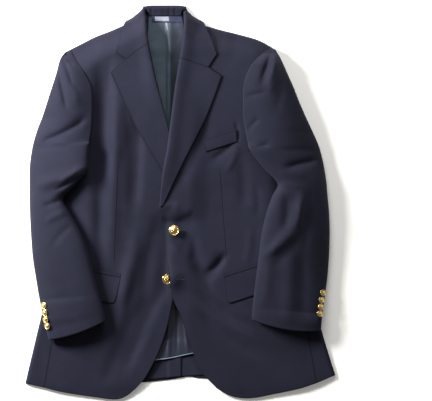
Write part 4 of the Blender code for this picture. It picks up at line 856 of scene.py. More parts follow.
def cloth(name, points, thickness, paint_used):
    """Sewn piece as a closed wall: the grid moved out by half the wall on both sides, and a
    rounded rim between them, the cos of four angles outwards and their sin up."""
    rows, cols = points.shape[:2]
    normal = grid_normals(points)
    half = thickness / 2
    upper, lower = points + half * normal, points - half * normal
    index = np.arange(rows * cols).reshape(rows, cols)
    quads = np.stack([index[:-1, :-1], index[:-1, 1:], index[1:, 1:], index[1:, :-1]],
                     axis=-1).reshape(-1, 4)
    loop = border(index)
    line, up = border(points), border(normal)
    tangent = np.roll(line, -1, axis=0) - np.roll(line, 1, axis=0)
    outward = np.cross(tangent, up)
    outward /= np.maximum(np.linalg.norm(outward, axis=1, keepdims=True), 1e-12)
    angles = np.radians([55, 20, -20, -55])
    rings = [line + half * (math.sin(a) * up + math.cos(a) * outward) for a in angles]
    first = 2 * rows * cols
    ring_index = [loop] + [first + k * len(loop) + np.arange(len(loop)) for k in range(4)]
    ring_index.append(loop + rows * cols)
    rim = [np.stack([a, b, np.roll(b, -1), np.roll(a, -1)], axis=-1)
           for a, b in zip(ring_index[:-1], ring_index[1:])]
    faces = np.concatenate([quads, quads[:, ::-1] + rows * cols, *rim])
    vertices = np.concatenate([upper.reshape(-1, 3), lower.reshape(-1, 3), *rings])
    u, v = even(points)
    flat = np.dstack(np.meshgrid(u, v)).reshape(-1, 2)
    uv = np.concatenate([flat, flat] + [flat[loop]] * 4)
    piece = solid(name, vertices, faces, uv, paint_used)
    inside = np.minimum(np.minimum(flat, [u[-1], v[-1]] - flat).min(axis=1), 1 * CM)
    away = np.concatenate([inside, inside, np.zeros(4 * len(loop))])
    piece.data.attributes.new("border", "FLOAT", "POINT").data.foreach_set("value", away)
    return piece


def solid(name, vertices, faces, uv, paint_used):
    """Mesh object of arrays of points, quads and UVs in metres, smooth, riding on the part."""
    mesh = bpy.data.meshes.new(name)
    mesh.from_pydata(vertices.tolist(), [], faces.tolist())
    mesh.polygons.foreach_set("use_smooth", np.ones(len(faces), bool))
    layer = mesh.uv_layers.new(name="cloth")
    corners = np.empty(len(mesh.loops), int)
    mesh.loops.foreach_get("vertex_index", corners)
    layer.data.foreach_set("uv", np.asarray(uv, float)[corners].ravel())
    mesh.materials.append(paint_used)
    piece = bpy.data.objects.new(name, mesh)
    bpy.context.scene.collection.objects.link(piece)
    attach(piece, "root")
    return piece


def laid(piece):
    """Hides the CAD part that the piece stands for, named as the piece less its _cloth ending."""
    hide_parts(piece.name.removesuffix("_cloth"))


def panel(rails, rows, cols, west_gap, east_gap, top_gap=None):
    """Plan grid of a panel between its rails, in from each side by a gap."""
    west, east = smooth_rail(rails["west"]), smooth_rail(rails["east"])
    west = moved_west(west, -west_gap(west[:, 1]))
    east = moved_west(east, east_gap(east[:, 1]))
    west, east = at_shares(west, rows, True), at_shares(east, rows, True)
    hem = at_shares(smooth_rail(rails["hem"]), cols, False)
    top = smooth_rail(rails["top"])
    if top_gap:
        top = moved_west(top, -top_gap(top[:, 0]))
    top = at_shares(top, cols, False)
    for rail, corner in ((west, top[0]), (east, top[-1])):
        if np.hypot(*(rail[-1] - corner)) > 1 * MM:
            rail[-1] = corner
    return blended(hem, top, west, east, rows, cols)


def half_seam(y):
    """Gap of a sewn seam on one side."""
    return np.full(np.shape(y), SEAM / 2)


def under_roll(start):
    """Gap of a front's edge: none down its quarter, and room for the roll above the break."""
    return lambda y: step(y, EDGE_FROM, BREAK_Y) * (
        EDGE_SHARE * roll_radius(y, start) + EDGE_KEEPS)


def dense(low, high, count, keep):
    """Evenly spaced levels between two, with the ones to keep in place of those near them."""
    levels, keep = np.linspace(low, high, count), np.ravel(keep)
    away = np.abs(levels[:, None] - keep[None, :]).min(axis=1)
    return np.sort(np.append(levels[away > 0.5 * (levels[1] - levels[0])], keep))


def front_points(rails, outer, height, west_gap, east_gap):
    """Front from hem to shoulder, its rows closer where it turns down at the shoulder's rim."""
    corners = np.array([point[1] for point in rails["corners"]]) * CM
    tip = rails[outer][-1][1] * CM
    low = rails[outer][0][1] * CM
    slant = np.linspace(corners.min(), corners.max(), SLANT_ROWS)
    levels = dense(low, tip, FRONT_GRID[0], np.concatenate([slant, tip - NEAR_TIP]))
    rows = level_shares(smooth_rail(rails[outer]), levels)
    flat = panel(rails, rows, np.linspace(0, 1, FRONT_GRID[1]), west_gap, east_gap)
    return with_height(flat, height(flat[..., 0], flat[..., 1]))


def side_points(seam, edge, under, east):
    """Side panel: from its seam with the front over the rim and in beneath to the back's."""
    shares = np.linspace(0, 1, SIDE_ROWS)
    seam, edge, under = (at_shares(smooth_rail(points), shares, True)[:, None]
                         for points in (seam, edge, under))
    seam = seam + (east * SEAM / 2, 0)
    under = under + (east * SEAM / 2, 0)
    over = (np.linspace(1, SIDE_LEAST, SIDE_OVER) ** SIDE_POWER)[None, :, None]
    beneath = np.linspace(0, 1, SIDE_BENEATH)[None, :, None]
    top = edge + (seam - edge) * over
    bottom = edge + (under - edge) * beneath
    flat = np.concatenate([top, bottom], axis=1)
    height = np.concatenate([body_height(top[..., 0], top[..., 1]),
                             np.full(bottom.shape[:2], OVER_FLOOR)], axis=1)
    return with_height(flat, height)


def inside_rim(x):
    """How far inside the body's rim the back's top edge lies."""
    return TOP_INSET * step(np.abs(x - NECK_X), *TOP_INSET_STARTS)


def back_points(rails, outer):
    """Half of the back, flat on the floor but for its rise over the collar's fall."""
    low, tip = rails[outer][0][1] * CM, rails[outer][-1][1] * CM
    corner = np.max([point[1] for point in rails["corners"]]) * CM
    rows = level_shares(smooth_rail(rails[outer]), dense(low, tip, BACK_GRID[0], corner))
    cols = np.sort(np.append(np.linspace(0, 1, BACK_GRID[1]), corner_shares(rails["top"])))
    flat = panel(rails, rows, cols, half_seam, half_seam, inside_rim)
    return with_height(flat, ground(flat[..., 0], flat[..., 1]) + CLOTH / 2)


def lining_height(x, y):
    """Middle of the lining's wall: the standing pleat and the fine folds of the satin."""
    pleat = np.exp(-((x - PLEAT_X) / PLEAT_WIDTH) ** 2)
    pleat = pleat * step(y, *PLEAT_FROM) * step(y, *PLEAT_ENDS)
    rise = ground(x, y) + column(y, LINING_RISE, 1, MM) + PLEAT_RISE * pleat
    return rise + folds(x, y, LINING_FOLDS) + ripples(x, y, *LINING_RIPPLES)


def lining_top(x, y, fine=1.0):
    """The lining's height, called as the fronts' heights are."""
    return lining_height(x, y)


def hem_height(x, y):
    """Turned-up hem of the back, which passes over the vent's underlap on the right half."""
    return HEM_HEIGHT + HEM_OVER_VENT * step(x, *HEM_CLIMB) * (x < UNDERLAP_END)


def turned_points(rails, seam, height, start, west, counts):
    """Lapel, whose seam is its top, or collar leaf, whose seam is its bottom: a grid between the
    roll and the edge that rests on the front, and a curl of radius r round the roll line, at
    angles from -70 to 80 degrees. A leaf runs up to the collar's fold and down behind it."""
    rows = np.linspace(0, 1, counts[0])
    across = np.concatenate([np.linspace(0, 1, counts[1]), [0.985, 0.995],
                             corner_shares(rails[seam])])
    across = np.sort(across)
    roll = at_shares(smooth_rail(rails["roll"]), rows, False)
    edge = at_shares(smooth_rail(rails["edge"]), rows, False)
    ends = {"bottom": (roll[0], edge[0]), "top": (roll[-1], edge[-1])}
    rails_across = {key: pair[0] + (pair[1] - pair[0]) * across[:, None]
                    for key, pair in ends.items()}
    rails_across[seam] = at_shares(smooth_rail(rails[seam]), across, False)
    radius = roll_radius(roll[:, 1], start)
    inner = moved_west(roll, west * radius)
    flat = blended(rails_across["bottom"], rails_across["top"], roll, edge, rows, across)
    flat = flat + (inner - roll)[:, None] * (1 - across)[None, :, None]
    x, y = flat[..., 0], flat[..., 1]
    away = np.hypot(*(flat - flat[:, :1]).transpose(2, 0, 1))
    bump = (2 * radius[:, None] - LAYER) * np.exp(-(away / ROLL_FADE) ** 2)
    z = resting(height, x, y, FACING_REACH) + LAYER + bump
    z = z + ripples(x, y, *FACING_RIPPLES)
    if seam == "bottom":
        down = np.hypot(*(flat - flat[:, -1:]).transpose(2, 0, 1)) / EDGE_DOWN
        z = z + step(y, *COLLAR_JOIN) * (COLLAR_FOLD - z)
        outside = step(y, EDGE_LEAVES, EDGE_LEAVES + EDGE_FALL)
        z = z + outside * ((FACED / 2 + (z - FACED / 2) * arc(down)) - z)
    angles = np.radians(np.linspace(*ROLL_ANGLES))[None, :]
    curl = inner[:, None] + (roll - inner)[:, None] * np.cos(angles)[..., None]
    depth = np.minimum(radius[:, None], (z[:, :1] - CLOTH) / 2)
    curl_z = z[:, :1] - depth * (1 - np.sin(angles))
    return np.concatenate([with_height(curl, curl_z), with_height(flat, z)[:, 1:]], axis=1)


def collar_back_points():
    """Collar round the back of the neck: a smooth line through its section, row by row, with
    the stand's upright puckers."""
    index = np.arange(len(COLLAR_BACK), dtype=float)
    at = np.linspace(0, index[-1], COLLAR_GRID[0])
    y, z, west, east = cubic(at, index, COLLAR_BACK, np.gradient(COLLAR_BACK, axis=0)).T
    share = np.linspace(0, 1, COLLAR_GRID[1])[None, :]
    x = (west[:, None] * (1 - share) + east[:, None] * share) * CM
    z = np.maximum(z, 1.0)[:, None] * MM
    stand = step(at, 4.2, 2.0)[:, None]
    y = y[:, None] - 0.3 * np.abs(2 * share - 1) ** 9 * step(y, 39.6, 40.4)[:, None]
    pucker = folds(x, y * CM, STAND_FOLDS)
    grid = np.dstack([x, y * CM, z + stand * pucker])
    return grid[::-1]


def quad(corners, rows, cols):
    """Plan grid between four corners in cm: hem west, hem east, top east, top west."""
    a, b, c, d = np.array(corners) * CM
    u, v = np.linspace(0, 1, cols)[None, :, None], np.linspace(0, 1, rows)[:, None, None]
    return (1 - v) * ((1 - u) * a + u * b) + v * ((1 - u) * d + u * c)


def applied_points(corners, counts, height, lift, round_corner=0.0):
    """Small piece that rests on another one, its hem corners drawn in by u^12 * v^12, where u
    and v run from the middle to a corner."""
    rows, cols = counts
    flat = quad(corners, rows, cols)
    if round_corner:
        middle = flat.mean(axis=(0, 1))
        u = np.abs(np.linspace(-1, 1, cols))[None, :]
        v = np.linspace(1, 0, rows)[:, None]
        pull = round_corner * (u ** 12) * (v ** 12)
        flat = flat + (middle - flat) * pull[..., None]
    return with_height(flat, resting(height, flat[..., 0], flat[..., 1], APPLIED_REACH) + lift)


def sleeve_plan(table, rows, shares):
    """Outer and inner edges of a sleeve's sections, and the grid of places between them."""
    index = np.arange(len(table), dtype=float)
    values = cubic(rows, index, table, np.gradient(table, axis=0))
    outer, inner = values[:, 0:2] * CM, values[:, 2:4] * CM
    edge, crown, head, bow = values[:, 4:8].T[..., None] * np.array([MM, MM, 1, CM])[:, None, None]
    flat = outer[:, None] + (inner - outer)[:, None] * shares[None, :, None]
    flat[..., 1] -= bow * 4 * shares * (1 - shares)
    edge = edge + sleeve_over(outer[:, :1], outer[:, 1:])
    return flat, edge, crown, np.clip(head, 0, 1)


def sleeve_over(x, y):
    """What a sleeve lies on: the floor, or the body's side with its pocket flap."""
    below, above = FLAP_ENDS
    flap = FLAP_ROOM * step(y, *below) * step(y, *above)
    cover = resting(body_height, x, y, SLEEVE_REACH, 0.8 / MM) + BODY_ROOM + flap + CLOTH
    return OVER_FLOOR + (cover - OVER_FLOOR) * step(rim_distance(x, y), *BODY_FROM)


def topsleeve_points(table, rows, shares, over_front):
    """Top sleeve: a head that runs on from the armhole, then the upper half of a flat tube,
    whose section is a superellipse over the line between its edges."""
    flat, edge, crown, head = sleeve_plan(table, rows, shares)
    inner = flat[:, -1:]
    x, y = inner[..., 0], inner[..., 1]
    on_seam = over_front(x, y, 1.0) + 0.6 * MM
    rest = head * on_seam + (1 - head) * (sleeve_over(x, y) + EDGE_ROOM)
    rest = np.where(rows[:, None] < 0.5, np.minimum(edge + 1.0 * MM, rest), rest)
    line = edge + (rest - edge) * shares
    tube = line + crown * (1 - np.abs(2 * shares - 1) ** FULLNESS) ** (1 / FULLNESS)
    dome = edge + (rest - edge) * arc(shares * HEAD_LEVEL) + crown * np.sin(math.pi * shares)
    roping = ROPING * arc((1 - shares) / ROPING_SHARE) * head
    window = np.clip(6 * shares * (1 - shares), 0, 1)
    x, y = flat[..., 0], flat[..., 1]
    detail = folds(x, y, SLEEVE_FOLDS) + folds(x, y, SLEEVE_CREASES)
    detail = detail + ripples(x, y, *SLEEVE_RIPPLES)
    z = head * dome + (1 - head) * tube + roping + window * detail
    return with_height(flat, z + EDGE_GAP)


def undersleeve_points(table, armhole, out, rows, shares):
    """Under sleeve: low half of the tube, its edges quarter circles, open at the armhole."""
    flat, edge, crown, head = sleeve_plan(table, rows, shares)
    seam = smooth_rail(armhole)
    open_rows = step(head[:, 0], *HEAD_OPENS)[:, None]
    ends = flat[:, -1].copy()
    armhole_x = np.interp(ends[:, 1] - 0.5 * CM, seam[:, 1], seam[:, 0]) + out * ARMHOLE_GAP
    ends[:, 0] += open_rows[:, 0] * (armhole_x - ends[:, 0])
    flat = flat[:, :1] + (ends - flat[:, 0])[:, None] * shares[None, :, None]
    reach = step(rows, rows[-1] - 1.0, rows[-1])[:, None]
    flat[..., 1] -= reach * CUFF_REACH * np.sin(math.pi * shares) ** 0.7
    x, y = flat[..., 0], flat[..., 1]
    rest = open_rows * OVER_FLOOR + (1 - open_rows) * sleeve_over(x, y)
    from_outer = np.hypot(*(flat - flat[:, :1]).transpose(2, 0, 1)) / edge
    from_inner = np.hypot(*(flat - flat[:, -1:]).transpose(2, 0, 1)) / EDGE_ROOM
    z = rest + np.maximum(edge - rest, 0) * (1 - arc(from_outer))
    z = z + (1 - open_rows) * EDGE_ROOM * (1 - arc(from_inner)) - EDGE_GAP
    return with_height(flat, np.maximum(z, OVER_FLOOR))


def group(name, inputs, outputs):
    """Empty shader node group with named sockets; inputs carry their default values."""
    made = bpy.data.node_groups.new(name, "ShaderNodeTree")
    for label, kind, value in inputs:
        socket = made.interface.new_socket(label, in_out="INPUT", socket_type=kind)
        if value is not None:
            socket.default_value = value
    for label, kind in outputs:
        made.interface.new_socket(label, in_out="OUTPUT", socket_type=kind)
    return made, made.nodes.new("NodeGroupInput"), made.nodes.new("NodeGroupOutput")


def math_node(tree, operation, *values):
    """Math node whose inputs are numbers or other nodes' outputs."""
    node = tree.nodes.new("ShaderNodeMath")
    node.operation = operation
    for socket, value in zip(node.inputs, values):
        if isinstance(value, (int, float)):
            socket.default_value = value
        else:
            tree.links.new(value, socket)
    return node.outputs[0]


def clamped(tree, value):
    """Value held between 0 and 1."""
    node = tree.nodes.new("ShaderNodeClamp")
    tree.links.new(value, node.inputs["Value"])
    return node.outputs[0]


def noise_of(tree, vector, scale, detail):
    """Noise over a vector at a fixed or linked scale, from 0 to 1."""
    node = tree.nodes.new("ShaderNodeTexNoise")
    node.inputs["Detail"].default_value = detail
    tree.links.new(vector, node.inputs["Vector"])
    if isinstance(scale, float):
        node.inputs["Scale"].default_value = scale
    else:
        tree.links.new(scale, node.inputs["Scale"])
    return node.outputs["Fac"]


def twill_group():
    """Twill: diagonal ribs sin(2 pi (u + v) / pitch) crossed by single threads across them,
    with slubs from a noise; gives a height from 0 to 1 and a mask of the darker gaps."""
    tree, start, end = group(
        "twill", [("Vector", "NodeSocketVector", None), ("Pitch", "NodeSocketFloat", 0.0008),
                  ("Slope", "NodeSocketFloat", 1.0)],
        [("Height", "NodeSocketFloat"), ("Gap", "NodeSocketFloat"), ("Slub", "NodeSocketFloat")])
    split = tree.nodes.new("ShaderNodeSeparateXYZ")
    tree.links.new(start.outputs["Vector"], split.inputs[0])
    rise = math_node(tree, "MULTIPLY", split.outputs["Y"], start.outputs["Slope"])
    along = math_node(tree, "ADD", split.outputs["X"], rise)
    turns = math_node(tree, "DIVIDE", along, start.outputs["Pitch"])
    rib = math_node(tree, "SINE", math_node(tree, "MULTIPLY", turns, 2 * math.pi))
    across = math_node(tree, "SUBTRACT", split.outputs["X"], rise)
    threads = math_node(tree, "DIVIDE", across, start.outputs["Pitch"])
    thread = math_node(tree, "SINE", math_node(tree, "MULTIPLY", threads, 4 * math.pi))
    rib01 = math_node(tree, "MULTIPLY_ADD", rib, 0.5, 0.5)
    height = math_node(tree, "MULTIPLY_ADD", thread, 0.15, math_node(tree, "MULTIPLY", rib01, 0.8))
    tree.links.new(height, end.inputs["Height"])
    tree.links.new(math_node(tree, "SUBTRACT", 1.0, rib01), end.inputs["Gap"])
    tree.links.new(noise_of(tree, start.outputs["Vector"], 900.0, 1.0), end.inputs["Slub"])
    return tree


def cloud_group():
    """Slow variation over a piece: two noises of unlike size, mixed and drawn apart."""
    tree, start, end = group(
        "cloud", [("Vector", "NodeSocketVector", None), ("Size", "NodeSocketFloat", 12.0)],
        [("Value", "NodeSocketFloat")])
    parts = []
    for times, share in ((1.0, 0.65), (4.3, 0.35)):
        scale = math_node(tree, "MULTIPLY", start.outputs["Size"], times)
        noise = noise_of(tree, start.outputs["Vector"], scale, 3.0)
        parts.append(math_node(tree, "MULTIPLY", noise, share))
    drawn = math_node(tree, "MULTIPLY_ADD", math_node(tree, "ADD", *parts), 2.4, -0.7)
    tree.links.new(clamped(tree, drawn), end.inputs["Value"])
    return tree


def line_group():
    """Mask along a straight line seen from above: 1 on it, 0 a width away from it."""
    tree, start, end = group(
        "dart_shade_line", [("Vector", "NodeSocketVector", None), ("From", "NodeSocketVector", None),
                         ("To", "NodeSocketVector", None), ("Width", "NodeSocketFloat", 0.001)],
        [("Mask", "NodeSocketFloat")])

    def vector_node(operation, *values):
        node = tree.nodes.new("ShaderNodeVectorMath")
        node.operation = operation
        for socket, value in zip(node.inputs, values):
            tree.links.new(value, socket)
        return node

    plan = tree.nodes.new("ShaderNodeVectorMath")
    plan.operation = "MULTIPLY"
    plan.inputs[1].default_value = (1, 1, 0)
    tree.links.new(start.outputs["Vector"], plan.inputs[0])
    reach = vector_node("SUBTRACT", plan.outputs[0], start.outputs["From"]).outputs[0]
    line = vector_node("SUBTRACT", start.outputs["To"], start.outputs["From"]).outputs[0]
    share = math_node(tree, "DIVIDE", vector_node("DOT_PRODUCT", reach, line).outputs["Value"],
                      vector_node("DOT_PRODUCT", line, line).outputs["Value"])
    scale = tree.nodes.new("ShaderNodeVectorMath")
    scale.operation = "SCALE"
    tree.links.new(line, scale.inputs[0])
    tree.links.new(clamped(tree, share), scale.inputs["Scale"])
    off = vector_node("SUBTRACT", reach, scale.outputs[0]).outputs[0]
    away = math_node(tree, "DIVIDE", vector_node("LENGTH", off).outputs["Value"],
                     start.outputs["Width"])
    near = math_node(tree, "SUBTRACT", 1.0, away)
    tree.links.new(clamped(tree, near), end.inputs["Mask"])
    return tree


def edge_group():
    """Painted shade of a turned edge, where the cloth rolls away, partly its pile pressed flat:
    full at the border and gone a width in from it.
    """
    tree, start, end = group(
        "painted_edge_shade", [("Border", "NodeSocketFloat", 0.01), ("Width", "NodeSocketFloat", 0.002)],
        [("Shade", "NodeSocketFloat")])
    share = math_node(tree, "DIVIDE", start.outputs["Border"], start.outputs["Width"])
    near = math_node(tree, "SUBTRACT", 1.0, share)
    tree.links.new(clamped(tree, near), end.inputs["Shade"])
    return tree


TWILL, CLOUD, LINE, EDGE = twill_group(), cloud_group(), line_group(), edge_group()


def paint(name, roughness, metallic=0.0, sheen=0.0, sheen_tint=(1, 1, 1), specular=0.5):
    """Material with its Principled shader's plain values set on its own sockets."""
    made = bpy.data.materials.new(name)
    made.use_nodes = True
    shader = made.node_tree.nodes["Principled BSDF"]
    shader.inputs["Roughness"].default_value = roughness
    shader.inputs["Metallic"].default_value = metallic
    shader.inputs["Sheen Weight"].default_value = sheen
    shader.inputs["Sheen Roughness"].default_value = 0.45
    shader.inputs["Sheen Tint"].default_value = (*sheen_tint, 1.0)
    shader.inputs["Specular IOR Level"].default_value = specular
    return made, made.node_tree, shader


def use(tree, made, **values):
    """Places a node group in a material and sets or links its inputs."""
    node = tree.nodes.new("ShaderNodeGroup")
    node.node_tree = made
    for label, value in values.items():
        if isinstance(value, (int, float)):
            node.inputs[label].default_value = value
        else:
            tree.links.new(value, node.inputs[label])
    return node


def mixed_colour(tree, factor, dark, light):
    """Colour between two, by a factor from 0 to 1; either end may be another node's colour."""
    mix = tree.nodes.new("ShaderNodeMix")
    mix.data_type = "RGBA"
    for socket, value in ((mix.inputs[0], factor), (mix.inputs[6], dark), (mix.inputs[7], light)):
        if isinstance(value, tuple):
            socket.default_value = (*value, 1.0)
        elif isinstance(value, float):
            socket.default_value = value
        else:
            tree.links.new(value, socket)
    return mix.outputs[2]


def bumped(tree, shader, height, strength, distance, normal=None):
    """Feeds a height to the shader's normal through a Bump node."""
    bump = tree.nodes.new("ShaderNodeBump")
    bump.inputs["Strength"].default_value = strength
    bump.inputs["Distance"].default_value = distance
    tree.links.new(height, bump.inputs["Height"])
    if normal:
        tree.links.new(normal, bump.inputs["Normal"])
    tree.links.new(bump.outputs["Normal"], shader.inputs["Normal"])
    return bump.outputs["Normal"]


def uv_and_place(tree):
    """The piece's own cloth map in metres, and its Object coordinates."""
    uv = tree.nodes.new("ShaderNodeUVMap")
    uv.uv_map = "cloth"
    place = tree.nodes.new("ShaderNodeTexCoord")
    return uv.outputs["UV"], place.outputs["Object"]


def multiplied(tree, colour, factor):
    """Product of two colours."""
    times = tree.nodes.new("ShaderNodeMix")
    times.data_type = "RGBA"
    times.blend_type = "MULTIPLY"
    times.inputs[0].default_value = 1.0
    tree.links.new(colour, times.inputs[6])
    tree.links.new(factor, times.inputs[7])
    return times.outputs[2]


def border_of(tree):
    """The piece's own attribute that says how far in from its border a place is."""
    node = tree.nodes.new("ShaderNodeAttribute")
    node.attribute_name = "border"
    return node.outputs["Fac"]


def wool_paint(name="wool_twill", slope=1.0, lines=()):
    """Navy worsted twill: fine diagonal ribs, darker between them, slightly cloudy, with painted
    shade at the turned edges, partly their pile pressed flat, and along the darts' pressed lines."""
    made, tree, shader = paint(name, 0.85, sheen=0.05, sheen_tint=(0.7, 0.75, 1.0), specular=0.16)
    uv, place = uv_and_place(tree)
    twill = use(tree, TWILL, Vector=uv, Pitch=TWILL_PITCH, Slope=slope)
    cloud = use(tree, CLOUD, Vector=place, Size=11.0)
    edge = use(tree, EDGE, Border=border_of(tree), Width=EDGE_SHADE)
    tone = mixed_colour(tree, cloud.outputs["Value"], WOOL_DARK, WOOL_LIGHT)
    slub = mixed_colour(tree, twill.outputs["Slub"], *SLUB_TONES)
    gap = mixed_colour(tree, twill.outputs["Gap"], *GAP_TONES)
    # Painted shade along each piece's border, partly its pile pressed flat there
    shade = mixed_colour(tree, edge.outputs["Shade"], PLAIN, EDGE_SHADE_TONE)
    for factor in (slub, gap, shade):
        tone = multiplied(tree, tone, factor)
    height = twill.outputs["Height"]
    # Each dart: painted shade along its line, and a bump that sinks it as a groove
    for x0, y0, x1, y1 in lines:
        line = tree.nodes.new("ShaderNodeGroup")
        line.node_tree = LINE
        line.inputs["From"].default_value = (x0 * CM, y0 * CM, 0)
        line.inputs["To"].default_value = (x1 * CM, y1 * CM, 0)
        line.inputs["Width"].default_value = LINE_WIDTH
        tree.links.new(place, line.inputs["Vector"])
        mask = line.outputs["Mask"]
        tone = multiplied(tree, tone, mixed_colour(tree, mask, PLAIN, DART_SHADE_TONE))
        height = math_node(tree, "SUBTRACT", height, math_node(tree, "MULTIPLY", mask, 6.0))
    tree.links.new(tone, shader.inputs["Base Color"])
    bumped(tree, shader, height, 0.55, 0.00012)
    return made


def satin_paint(name, painted_low_light):
    """Slate satin lining: smooth, with fine threads along it and a soft shine; towards the hem
    painted light comes in, painted shade on the lining and a painted highlight on its hem cord,
    and painted shade darkens the east side of its centre pleat."""
    made, tree, shader = paint(name, 0.36, sheen=0.12, sheen_tint=(0.6, 0.8, 0.9))
    uv, place = uv_and_place(tree)
    cloud = use(tree, CLOUD, Vector=place, Size=16.0)
    tone = mixed_colour(tree, cloud.outputs["Value"], LINING_DARK, LINING_LIGHT)
    split = tree.nodes.new("ShaderNodeSeparateXYZ")
    tree.links.new(place, split.inputs[0])
    x, y = split.outputs["X"], split.outputs["Y"]
    # Towards the hem: painted shade on the lining, a painted highlight on the hem cord
    down = clamped(tree, math_node(tree, "MULTIPLY", y, PAINTED_LOW_LIGHT_RATE))
    tone = multiplied(tree, tone, mixed_colour(tree, down, PLAIN, painted_low_light))
    # Painted shade on the east side of the centre pleat, coming in up the lining
    past = math_node(tree, "SUBTRACT", x, PLEAT_LINE)
    side = clamped(tree, math_node(tree, "DIVIDE", past, PLEAT_SOFT))
    up = clamped(tree, math_node(tree, "MULTIPLY", y, PLEAT_SHADE_RATE))
    turned = math_node(tree, "MULTIPLY", side, up)
    tone = multiplied(tree, tone, mixed_colour(tree, turned, PLAIN, PLEAT_SHADE))
    tree.links.new(tone, shader.inputs["Base Color"])
    stretch = tree.nodes.new("ShaderNodeMapping")
    stretch.inputs["Scale"].default_value = (2600.0, 90.0, 1.0)
    tree.links.new(uv, stretch.inputs["Vector"])
    threads = noise_of(tree, stretch.outputs[0], 1.0, 2.0)
    creased = bumped(tree, shader, noise_of(tree, place, 70.0, 2.0), 0.35, 0.0015)
    bumped(tree, shader, threads, 0.25, 0.0001, creased)
    return made


def label_paint():
    """Woven satin label: navy ground with a plain pale band along part of it."""
    made, tree, shader = paint("label_satin", 0.5, sheen=0.1)
    uv, _ = uv_and_place(tree)
    split = tree.nodes.new("ShaderNodeSeparateXYZ")
    tree.links.new(uv, split.inputs[0])
    low, high = LABEL_BAND
    inside = math_node(tree, "MULTIPLY",
                       math_node(tree, "GREATER_THAN", split.outputs["X"], low),
                       math_node(tree, "LESS_THAN", split.outputs["X"], high))
    for value, side in ((LABEL_MARGIN, "GREATER_THAN"), (LABEL_TOP, "LESS_THAN")):
        within = math_node(tree, side, split.outputs["Y"], value)
        inside = math_node(tree, "MULTIPLY", inside, within)
    weave = use(tree, TWILL, Vector=uv, Pitch=LABEL_PITCH, Slope=0.0)
    tone = mixed_colour(tree, inside, LABEL_GROUND, LABEL_PALE)
    tree.links.new(tone, shader.inputs["Base Color"])
    bumped(tree, shader, weave.outputs["Height"], 0.4, 0.00008)
    return made


def gilt_paint(name, colour, roughness):
    """Gilt metal: warm, slightly uneven, with faint rubbing that dulls it in places."""
    made, tree, shader = paint(name, roughness, metallic=1.0)
    place = tree.nodes.new("ShaderNodeTexCoord").outputs["Object"]
    cloud = use(tree, CLOUD, Vector=place, Size=240.0)
    dull = tuple(0.8 * c for c in colour)
    tree.links.new(mixed_colour(tree, cloud.outputs["Value"], dull, colour),
                   shader.inputs["Base Color"])
    rough = math_node(tree, "MULTIPLY_ADD", cloud.outputs["Value"], 0.14, roughness - 0.05)
    tree.links.new(rough, shader.inputs["Roughness"])
    return made


def thread_paint():
    """Twisted silk thread of the buttonholes, a little lighter than the cloth."""
    made, tree, shader = paint("buttonhole_thread", 0.55, sheen=0.2)
    place = tree.nodes.new("ShaderNodeTexCoord").outputs["Object"]
    tone = mixed_colour(tree, noise_of(tree, place, 1400.0, 2.0), THREAD_DARK, THREAD_LIGHT)
    tree.links.new(tone, shader.inputs["Base Color"])
    return made


def button_seat(node):
    """Foot, axis and half width of a CAD button, from the spread of its points: the axis is the
    direction whose spread is unlike the other two."""
    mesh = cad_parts[node].data
    points = np.empty(3 * len(mesh.vertices))
    mesh.vertices.foreach_get("co", points)
    points = np.unique(points.reshape(-1, 3).round(7), axis=0)
    centre = points.mean(axis=0)
    spread, axes = np.linalg.eigh(np.cov((points - centre).T))
    odd = 0 if spread[1] - spread[0] > spread[2] - spread[1] else 2
    axis = axes[:, odd] * math.copysign(1, axes[2, odd])
    along = (points - centre) @ axis
    beside = np.linalg.norm(points - centre - along[:, None] * axis, axis=1)
    return centre + axis * along.min(), axis, float(beside.max())


def revolved(name, rings, foot, axis, paint_used):
    """Closed body of rings of points from the face's centre out and down to the foot."""
    rows, steps = rings.shape[:2]
    index = np.arange(rows * steps).reshape(rows, steps)
    after = np.roll(index, -1, axis=1)
    faces = np.stack([index[:-1], index[1:], after[1:], after[:-1]], axis=-1).reshape(-1, 4)
    turn = Vector(axis).to_track_quat("Z", "Y").to_matrix()
    vertices = rings.reshape(-1, 3) @ np.array(turn).T + foot
    u, v = np.meshgrid(np.linspace(0, 0.06, steps), np.linspace(0, 0.02, rows))
    piece = solid(name, vertices, faces, np.column_stack([u.ravel(), v.ravel()]),
                  paint_used)
    merge(piece)
    return piece


def merge(piece):
    """Joins the points at the poles and drops the faces that closed up there."""
    work = bmesh.new()
    work.from_mesh(piece.data)
    bmesh.ops.remove_doubles(work, verts=work.verts, dist=1e-6)
    bmesh.ops.dissolve_degenerate(work, edges=work.edges, dist=1e-7)
    work.to_mesh(piece.data)
    work.free()


def button_face(x, y):
    """Relief of a button's face over its dome, in radii: fine slanted lines on the ground, and on
    it a plain rosette of eight petals round a bead."""
    r, turn = np.hypot(x, y), np.arctan2(y, x)
    ground_in = step(r, *GROUND_ENDS)
    lines = LINES_HEIGHT * np.sin((x * 0.5 + y * 0.866) * 2 * math.pi / LINES_PITCH)
    petal = np.abs(np.cos(4 * turn)) ** 0.7
    reach = PETAL_LEAST + PETAL_ADDS * petal
    swell = 0.55 + 0.45 * np.sin(math.pi * np.clip(r / (PETAL_LEAST + PETAL_ADDS), 0, 1))
    rosette = PETAL_HEIGHT * step(r, reach, reach - PETAL_SOFT) * swell
    bead = BEAD_HEIGHT * np.sqrt(np.clip(1 - (r / BEAD_RADIUS) ** 2, 0, 1))
    covered = np.clip(rosette / 0.02, 0, 1)
    return ground_in * (lines * (1 - covered) + rosette + bead)


